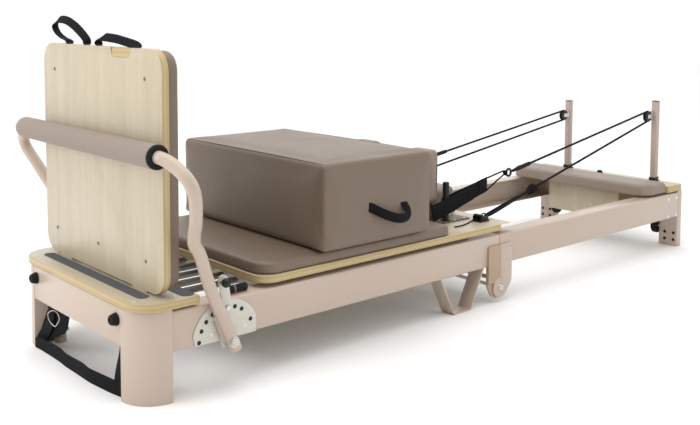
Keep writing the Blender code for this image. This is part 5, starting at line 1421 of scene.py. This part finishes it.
# Footbar
def foot_bar():
    half = ARM_Y
    arm = [(0.251, 0, 0.098), (0.2405, 0, 0.122), (0.222, 0, 0.163), (0.177, 0, 0.266),
           (0.150, 0.003, 0.344), (0.128, 0.013, 0.376), (0.118, 0.029, 0.405),
           (0.109, 0.049, 0.430), (0.098, 0.068, 0.460), (0.085, 0.088, 0.492),
           (0.0725, 0.099, 0.520), (0.062, 0.091, 0.546), (0.0525, 0.066, 0.567),
           (0.043, 0.041, 0.581)]
    points = [(x, -half - out, z) for x, out, z in arm]
    near = eased(points + [(ROLLER_AT[0], y, ROLLER_AT[2]) for y in (-0.3705, -0.330)], 7)
    far = [Vector((point.x, -point.y, point.z)) for point in reversed(near)]
    tube = swept(near + far, ring(size_of("footbar"), 32), across=(0, 1, 0))
    deliver(tube, "footbar_pipe", "powder coat", "footbar", "footbar_tube", keep_normals=True,
            shade=50)
    for side_name, side in SIDES:
        bracket = sheet_form([(0.222, 0.100), (0.256, 0.100), (0.258, 0.140), (0.251, 0.219),
                              (0.232, 0.222), (0.199, 0.204), (0.197, 0.187), (0.214, 0.150)],
                             "XZ", side * 0.3313, side * 0.3346, 0)
        bevelled(bracket, edges_along(bracket, 1, 0.002), 0.007, 6)
        rounded_edges(bracket, 0.0006, 60)
        deliver(bracket, "footbar_bracket_" + side_name, "bright plate", "footbar",
                "footbar_tube")
        stay = swept([Vector((0.2005, side * 0.3385, 0.186)), Vector((0.2135, side * 0.3385, 0.152)),
                      Vector((0.2265, side * 0.3385, 0.118))], ring(0.0065, 20),
                     across=(0, 1, 0))
        plug = lathed([(0, 0), (0.0125, 0), (0.0138, 0.0008), (0.0145, 0.0030), (0.0138, 0.0040),
                       (0, 0.0042)], (0.2516, side * half, 0.0968), (-0.40, 0, 0.92), 32)
        deliver(joined(stay, plug), "footbar_stay_" + side_name, "powder coat", "footbar",
                keep_normals=True)
        lever = sheet_form([(0.2275, 0.190), (0.2490, 0.190), (0.2365, 0.268), (0.2070, 0.268)],
                           "XZ", side * 0.3381, side * 0.3415, 0)
        bevelled(lever, edges_along(lever, 1, 0.002), 0.004, 5)
        rounded_edges(lever, 0.0006, 60)
        tip = lathed([(0, 0), (0.0134, 0), (0.0140, 0.0006), (0.0140, 0.0028), (0.0134, 0.0034),
                      (0, 0.0034)], (0.2215, side * 0.3381, 0.2690), (0, side, 0), 40)
        body = "lock_pin_" + side_name + "_body"
        deliver(joined(lever, tip), "lock_lever_" + side_name, "bright plate", body,
                "lock_pin_" + side_name, keep_normals=True)
        stem = lathed([(0, 0), (0.0040, 0), (0.0040, 0.0040), (0.0030, 0.0050), (0.0030, 0.0100),
                       (0, 0.0100)], (0.2210, side * 0.3412, 0.2660), (0, side, 0), 24)
        boss = lathed([(0, 0), (0.0072, 0), (0.0076, 0.0006), (0.0070, 0.0040), (0.0040, 0.0046),
                       (0, 0.0046)], (0.2354, side * 0.3412, 0.1990), (0, side, 0), 32)
        deliver(joined(stem, boss), "lock_stem_" + side_name, "bright steel", body,
                keep_normals=True)
        ball = bmesh.new()
        bmesh.ops.create_uvsphere(ball, u_segments=40, v_segments=24, radius=0.0115)
        bmesh.ops.translate(ball, verts=ball.verts, vec=(0.2200, side * 0.3570, 0.2670))
        deliver(ball, "lock_ball_" + side_name, "black moulding", body, "lock_pin_" + side_name)


def foam_roller():
    half, radius = 0.3645, 0.0285
    centre = ROLLER_AT
    profile = [(0.0162, 0.0005 - half), (0.0230, -half), (0.0262, 0.0016 - half),
               (0.0278, 0.0045 - half), (radius, 0.0090 - half)]
    profile += [(radius, -half + 0.0090 + (2 * half - 0.018) * k / 60) for k in range(1, 60)]
    profile += [(part, -along) for part, along in reversed(profile[:5])]
    foam = lathed(profile, centre, (0, 1, 0), 56)
    foam.normal_update()
    pushed(foam, 0.0004, 22.0)
    deliver(foam, "foam_roller", "roller foam", "footbar", "footbar_foam")
    cap = lathed([(0.0160, -0.0040), (0.0160, 0.0030), (0.0185, 0.0036), (0.0262, 0.0030),
                  (0.0282, 0.0012), (0.0289, -0.0010), (0.0288, -0.0040)],
                 (centre[0], -half, centre[2]), (0, -1, 0), 56)
    deliver(cap, "roller_ring_near", "black rubber", "footbar", "footbar_foam")


# Jump board
def jump_panel():
    refined("jump_board", "birch upright", "jump_board_body", 0.0012, 32)
    sunk = [lathed([(0, 0.0002), (0.0026, 0.0002), (0.0034, 0.0008), (0.0042, 0.0010),
                    (0.0050, 0.0), (0, -0.0004)], (JUMP_FACE, y, z), (-1, 0, 0), 28)
            for y, z in ((0.250, 0.755), (-0.238, 0.754), (0.251, 0.316), (0.009, 0.317),
                         (-0.234, 0.319))]
    deliver(joined(*sunk), "board_screws", "dark plate", "jump_board_body", keep_normals=True)
    form = slab_form((-0.823, -0.251), (-0.3165, 0.3165), (0.0928, 0.1235), 0.008,
                     ((-1, -1, 0.047), (-1, 1, 0.047), (1, -1, 0.047), (1, 1, 0.047)))
    bmesh.ops.rotate(form, verts=form.verts, matrix=Matrix.Rotation(math.pi / 2, 3, "Y"))
    puffed(form, "jump_cushion", "taupe hide", "jump_board_body", "jump_pad", 0.0022, 0.006,
           (0, 0.0928, 1))
    scoop = sheet_form([(-0.1728, 0.8248), (-0.1728, 0.8002), (-0.0732, 0.8002),
                        (-0.0732, 0.8248)], "YZ", 0.0775, 0.0794, 0.0, {1: 0.0178, 2: 0.0178})
    for vert in scoop.verts:
        if vert.co.x < 0.0782:
            vert.co.x = 0.0748 + (vert.co.z - 0.8002) / 0.0246 * 0.0030
    deliver(scoop, "board_scoop", "cut ply", "jump_board_body")


def carry_loops():
    """Flat webbing loops on the board's top edge: one stands twisted, one lies over."""
    x = LOOP_X
    width = size_of("carry_loop")
    far = [(0.0720, 0.8270), (0.0760, 0.8390), (0.1070, 0.8570), (0.1500, 0.8760),
           (0.1960, 0.8880), (0.2390, 0.8880), (0.2620, 0.8740), (0.2500, 0.8560),
           (0.2140, 0.8410), (0.1800, 0.8340), (0.1720, 0.8270)]
    far_turns = [(1, 0, 0), (0.9, -0.1, 0.2), (0.8, -0.25, 0.35), (0.58, -0.51, 0.63),
                 (0.35, -0.1, 0.9), (0.5, 0.1, 0.85), (0.9, 0.3, 0.1), (0.95, 0.25, 0),
                 (1, 0.1, 0), (1, 0, 0), (1, 0, 0)]
    near = [(0.0060, 0.8270), (0.0090, 0.8350), (-0.0020, 0.8440), (-0.0270, 0.8470),
            (-0.0540, 0.8460), (-0.0870, 0.8440), (-0.1200, 0.8400), (-0.1580, 0.8350),
            (-0.1860, 0.8310), (-0.1930, 0.8270)]
    near_turns = [(1, 0, 0), (0.9, 0.1, 0.1), (0.75, 0.2, 0.3), (0.4, 0, 0.9), (0.2, 0, 0.98),
                  (0.1, 0, 1), (0.05, 0, 1), (0.3, 0, 0.95), (0.8, 0, 0.5), (1, 0, 0)]
    for side_name, line, turns in (("far", far, far_turns), ("near", near, near_turns)):
        route = eased([(x, y, z) for y, z in line], 6)
        strap = swept(route, band(width, 0.0022), across=spread(turns, len(route)))
        deliver(strap, "carry_strap_" + side_name, "black webbing", "jump_board_body",
                "carry_loop_" + side_name, keep_normals=True)
        feet = [brick((x - 0.0075, x + 0.0075), (y - 0.0025, y + 0.0025), (0.8245, 0.8290),
                      0.0008) for y in (line[0][0], line[-1][0])]
        deliver(joined(*feet), "strap_feet_" + side_name, "black moulding", "jump_board_body",
                "carry_loop_" + side_name, keep_normals=True)


def head_cushion_board():
    form = slab_form((2.1315, 2.2845), (-0.3205, 0.3205), (0.2227, 0.2635), 0.009,
                     ((-1, -1, 0.060), (-1, 1, 0.060)))
    puffed(form, "head_upholstery", "light hide", "head_frame", "head_pad", 0.0022, 0.005,
           (2, 0.2227, 1))


# Stage
def stage_floor():
    size = bpy.context.scene.reformer_stage
    bm = bmesh.new()
    bmesh.ops.create_grid(bm, x_segments=1, y_segments=1, size=14.0)
    mesh = bpy.data.meshes.new("floor")
    bm.to_mesh(mesh)
    bm.free()
    floor = bpy.data.objects.new("floor", mesh)
    bpy.context.scene.collection.objects.link(floor)
    made = bpy.data.materials.new("pale floor")
    made.use_nodes = True
    shader = made.node_tree.nodes["Principled BSDF"]
    shader.inputs["Base Color"].default_value = (*size.floor, 1)
    shader.inputs["Roughness"].default_value = 0.9
    shader.inputs["Specular IOR Level"].default_value = 0.2
    mesh.materials.append(made)

    bpy.context.scene.world = studio_world(size.sky)
    bpy.context.scene.view_settings.view_transform = "Standard"
    for name, place, aim, width, power in (
            ("overhead", (-0.9, -0.2, 3.4), (0, 0, 0.3), 3.0, size.key_power),
            ("foot side", (-4.2, 0.9, 1.7), (-0.9, 0, 0.4), 2.4, size.key_power * 1.1),
            ("near side", (0.6, -4.6, 1.9), (0.2, 0, 0.2), 3.0, size.key_power * 0.6)):
        light = bpy.data.lights.new(name, "AREA")
        light.shape = "DISK"
        light.size = width
        light.energy = power
        light.color = (1.0, 0.99, 0.975)
        lamp = bpy.data.objects.new(name, light)
        lamp.location = place
        lamp.rotation_euler = (Vector(aim) - Vector(place)).to_track_quat("-Z", "Y").to_euler()
        bpy.context.scene.collection.objects.link(lamp)


def studio_world(strength):
    """White for the camera; as light it is stronger from above and from behind the object."""
    world = bpy.data.worlds.new("studio")
    world.use_nodes = True
    tree = world.node_tree
    background = tree.nodes["Background"]
    background.inputs["Color"].default_value = (1.0, 1.0, 1.0, 1)
    ways = tree.nodes.new("ShaderNodeTexCoord").outputs["Generated"]
    depth = node(tree, "ShaderNodeVectorMath", {1: (0.66, 0.75, 0.0)}, {0: ways},
                 operation="DOT_PRODUCT")
    from_back = node(tree, "ShaderNodeMapRange",
                     {"From Min": -1.0, "To Min": 0.40 * strength, "To Max": 1.20 * strength},
                     {"Value": depth.outputs["Value"]})
    parts = node(tree, "ShaderNodeSeparateXYZ", {}, {0: ways})
    light = node(tree, "ShaderNodeMath", {1: 0.40 * strength},
                 {0: parts.outputs["Z"], 2: from_back.outputs[0]}, operation="MULTIPLY_ADD")
    seen = node(tree, "ShaderNodeMix", {"B": 1.02},
                {"Factor": tree.nodes.new("ShaderNodeLightPath").outputs["Is Camera Ray"],
                 "A": light.outputs[0]}, data_type="FLOAT")
    tree.links.new(seen.outputs[0], background.inputs["Strength"])
    return world


CAMERA_AT = (-2.2085, -2.1881, 0.911)
CAMERA_TURN = (48.8703, -4.4384, 0.2231)
CAMERA_LENS = 48.31
CAMERA_SHIFT = (0.0147, -0.1816)


def stage_camera():
    yaw, pitch, roll = (math.radians(angle) for angle in CAMERA_TURN)
    ahead = Vector((math.cos(pitch) * math.cos(yaw), math.cos(pitch) * math.sin(yaw),
                    math.sin(pitch)))
    right = Vector((math.sin(yaw), -math.cos(yaw), 0))
    up = right.cross(ahead)
    across = right * math.cos(roll) + up * math.sin(roll)
    upward = up * math.cos(roll) - right * math.sin(roll)
    lens = bpy.data.cameras.new("photo view")
    lens.lens = CAMERA_LENS
    lens.sensor_width = 36.0
    lens.shift_x, lens.shift_y = CAMERA_SHIFT
    camera = bpy.data.objects.new("photo view", lens)
    camera.matrix_world = Matrix.Translation(CAMERA_AT) @ Matrix(
        (across, upward, -ahead)).transposed().to_4x4()
    bpy.context.scene.collection.objects.link(camera)
    bpy.context.scene.camera = camera


# Panel, its values and one operator for each group of pieces
def colour(name, description, default):
    return bpy.props.FloatVectorProperty(name=name, description=description, default=default,
                                         subtype="COLOR", min=0.0, max=1.0, size=3)


class ReformerFinish(bpy.types.PropertyGroup):
    """Colours of the finishes."""

    powder_coat: colour("Powder coat", "Cream-pink paint of the steel frame",
                        (0.490, 0.392, 0.320))
    pale_coat: colour("Post coat", "Lighter paint of the pulley posts", (0.43, 0.34, 0.295))
    hide: colour("Upholstery", "Taupe leatherette of the box and the large pads",
                 (0.158, 0.108, 0.070))
    light_hide: colour("Light upholstery", "Paler leatherette of the small cushions",
                       (0.240, 0.180, 0.140))
    roller_foam: colour("Roller foam", "Foam on the footbar", (0.27, 0.215, 0.182))
    birch: colour("Birch", "Faces of the plywood boards", (0.54, 0.465, 0.335))


def length(name, description, default):
    return bpy.props.FloatProperty(name=name, description=description, default=default,
                                   min=0.0005, precision=4, unit="LENGTH")


class ReformerSizes(bpy.types.PropertyGroup):
    """Sizes of the cords, the webbing and the footbar's tube."""

    rope: length("Rope", "Radius of the braided ropes", 0.0038)
    spring_wire: length("Spring wire", "Radius of the springs' wire", 0.00118)
    foot_loop: length("Foot loop", "Width of the foot loops' webbing", 0.045)
    box_handle: length("Box handle", "Width of the box handles' webbing", 0.026)
    carry_loop: length("Carry loop", "Width of the jump board loops' webbing", 0.022)
    footbar: length("Footbar", "Radius of the footbar's tube", 0.0155)


class ReformerStage(bpy.types.PropertyGroup):
    """Floor and light."""

    floor: colour("Floor", "Colour of the floor", (0.92, 0.92, 0.92))
    sky: bpy.props.FloatProperty(name="Fill light", description="Strength of the even light",
                                 default=1.0, min=0.0)
    key_power: bpy.props.FloatProperty(name="Overhead light",
                                       description="Power of the light above",
                                       default=45.0, min=0.0, unit="POWER")


class REFORMER_OT_rails(bpy.types.Operator):
    """Rails, columns and beam of the foot half"""

    bl_idname = "reformer.rails"
    bl_label = "Foot rails"

    def execute(self, context):
        foot_rails()
        return {"FINISHED"}


class REFORMER_OT_deck(bpy.types.Operator):
    """Plywood platform of the foot end with its strips"""

    bl_idname = "reformer.deck"
    bl_label = "Foot platform"

    def execute(self, context):
        foot_deck()
        return {"FINISHED"}


class REFORMER_OT_hinge(bpy.types.Operator):
    """Middle legs, hinge plates and pins"""

    bl_idname = "reformer.hinge"
    bl_label = "Hinge"

    def execute(self, context):
        hinge()
        return {"FINISHED"}


class REFORMER_OT_sectors(bpy.types.Operator):
    """Plates with the holes of the footbar's positions"""

    bl_idname = "reformer.sectors"
    bl_label = "Sector plates"

    def execute(self, context):
        sectors()
        return {"FINISHED"}


class REFORMER_OT_springs(bpy.types.Operator):
    """Spring bar and the five springs"""

    bl_idname = "reformer.springs"
    bl_label = "Springs"

    def execute(self, context):
        spring_set()
        return {"FINISHED"}


class REFORMER_OT_strap(bpy.types.Operator):
    """Strap low between the columns"""

    bl_idname = "reformer.strap"
    bl_label = "Foot strap"

    def execute(self, context):
        floor_strap()
        return {"FINISHED"}


class REFORMER_OT_head_rails(bpy.types.Operator):
    """Rails, legs and wheels of the head half"""

    bl_idname = "reformer.head_rails"
    bl_label = "Head rails"

    def execute(self, context):
        head_rails()
        return {"FINISHED"}


class REFORMER_OT_head_deck(bpy.types.Operator):
    """Head platform, its support and the posts"""

    bl_idname = "reformer.head_deck"
    bl_label = "Head platform"

    def execute(self, context):
        head_deck()
        return {"FINISHED"}


class REFORMER_OT_pulleys(bpy.types.Operator):
    """Pulley brackets and sheaves"""

    bl_idname = "reformer.pulleys"
    bl_label = "Pulleys"

    def execute(self, context):
        pulleys()
        return {"FINISHED"}


class REFORMER_OT_ropes(bpy.types.Operator):
    """Ropes from the foot loops over the pulleys to the cleats"""

    bl_idname = "reformer.ropes"
    bl_label = "Ropes"

    def execute(self, context):
        rope_lines()
        return {"FINISHED"}


class REFORMER_OT_loops(bpy.types.Operator):
    """Webbing loops on the strap posts"""

    bl_idname = "reformer.loops"
    bl_label = "Foot loops"

    def execute(self, context):
        foot_loops()
        return {"FINISHED"}


class REFORMER_OT_carriage(bpy.types.Operator):
    """Carriage board, cleats, underframe and wheels"""

    bl_idname = "reformer.carriage"
    bl_label = "Carriage"

    def execute(self, context):
        carriage_base()
        return {"FINISHED"}


class REFORMER_OT_carriage_pad(bpy.types.Operator):
    """Upholstery of the carriage"""

    bl_idname = "reformer.carriage_pad"
    bl_label = "Carriage pad"

    def execute(self, context):
        carriage_cushion()
        return {"FINISHED"}


class REFORMER_OT_rests(bpy.types.Operator):
    """Shoulder rests with their plates and posts"""

    bl_idname = "reformer.rests"
    bl_label = "Shoulder rests"

    def execute(self, context):
        shoulder_rests()
        return {"FINISHED"}


class REFORMER_OT_headrest(bpy.types.Operator):
    """Tilting head cushion"""

    bl_idname = "reformer.headrest"
    bl_label = "Headrest"

    def execute(self, context):
        head_cushion()
        return {"FINISHED"}


class REFORMER_OT_box(bpy.types.Operator):
    """Padded sitting box with its handles"""

    bl_idname = "reformer.box"
    bl_label = "Box"

    def execute(self, context):
        sitting_box()
        return {"FINISHED"}


class REFORMER_OT_head_pad(bpy.types.Operator):
    """Pad of the standing platform at the head end"""

    bl_idname = "reformer.head_pad"
    bl_label = "Head pad"

    def execute(self, context):
        head_cushion_board()
        return {"FINISHED"}


class REFORMER_OT_footbar(bpy.types.Operator):
    """Footbar, its brackets and the two lock pins"""

    bl_idname = "reformer.footbar"
    bl_label = "Footbar"

    def execute(self, context):
        foot_bar()
        return {"FINISHED"}


class REFORMER_OT_roller(bpy.types.Operator):
    """Foam on the footbar with its ring at the near end"""

    bl_idname = "reformer.roller"
    bl_label = "Foam roller"

    def execute(self, context):
        foam_roller()
        return {"FINISHED"}


class REFORMER_OT_jump_board(bpy.types.Operator):
    """Plywood jump board with its pad"""

    bl_idname = "reformer.jump_board"
    bl_label = "Jump board"

    def execute(self, context):
        jump_panel()
        return {"FINISHED"}


class REFORMER_OT_carry_loops(bpy.types.Operator):
    """Webbing loops on top of the jump board"""

    bl_idname = "reformer.carry_loops"
    bl_label = "Carry loops"

    def execute(self, context):
        carry_loops()
        return {"FINISHED"}


class REFORMER_OT_stage(bpy.types.Operator):
    """Floor, light and camera"""

    bl_idname = "reformer.stage"
    bl_label = "Stage"

    def execute(self, context):
        stage_floor()
        stage_camera()
        return {"FINISHED"}


class REFORMER_PT_panel(bpy.types.Panel):
    """Pieces of the reformer, its colours and a few of its sizes"""

    bl_idname = "REFORMER_PT_panel"
    bl_label = "Reformer"
    bl_space_type = "VIEW_3D"
    bl_region_type = "UI"
    bl_category = "Reformer"

    def draw(self, context):
        scene = context.scene
        for values in (scene.reformer_finish, scene.reformer_sizes, scene.reformer_stage):
            box = self.layout.box()
            for name in values.__annotations__:
                box.prop(values, name)
        column = self.layout.column(align=True)
        for step in PIECES:
            column.operator(step.bl_idname)


PIECES = (REFORMER_OT_rails, REFORMER_OT_deck, REFORMER_OT_hinge, REFORMER_OT_sectors,
          REFORMER_OT_springs, REFORMER_OT_strap, REFORMER_OT_head_rails,
          REFORMER_OT_head_deck, REFORMER_OT_pulleys, REFORMER_OT_ropes, REFORMER_OT_loops,
          REFORMER_OT_carriage, REFORMER_OT_carriage_pad, REFORMER_OT_rests,
          REFORMER_OT_headrest, REFORMER_OT_box, REFORMER_OT_head_pad, REFORMER_OT_footbar,
          REFORMER_OT_roller, REFORMER_OT_jump_board, REFORMER_OT_carry_loops,
          REFORMER_OT_stage)
VALUES = (ReformerFinish, ReformerSizes, ReformerStage)


def register():
    for made in (*VALUES, *PIECES, REFORMER_PT_panel):
        bpy.utils.register_class(made)
    bpy.types.Scene.reformer_finish = bpy.props.PointerProperty(type=ReformerFinish)
    bpy.types.Scene.reformer_sizes = bpy.props.PointerProperty(type=ReformerSizes)
    bpy.types.Scene.reformer_stage = bpy.props.PointerProperty(type=ReformerStage)


def unregister():
    del bpy.types.Scene.reformer_finish
    del bpy.types.Scene.reformer_sizes
    del bpy.types.Scene.reformer_stage
    for made in reversed((*VALUES, *PIECES, REFORMER_PT_panel)):
        bpy.utils.unregister_class(made)


def main():
    register()
    make_groups()
    make_looks()
    for step in PIECES:
        getattr(bpy.ops.reformer, step.bl_idname.split(".")[1])()


if __name__ == "__main__":
    main()
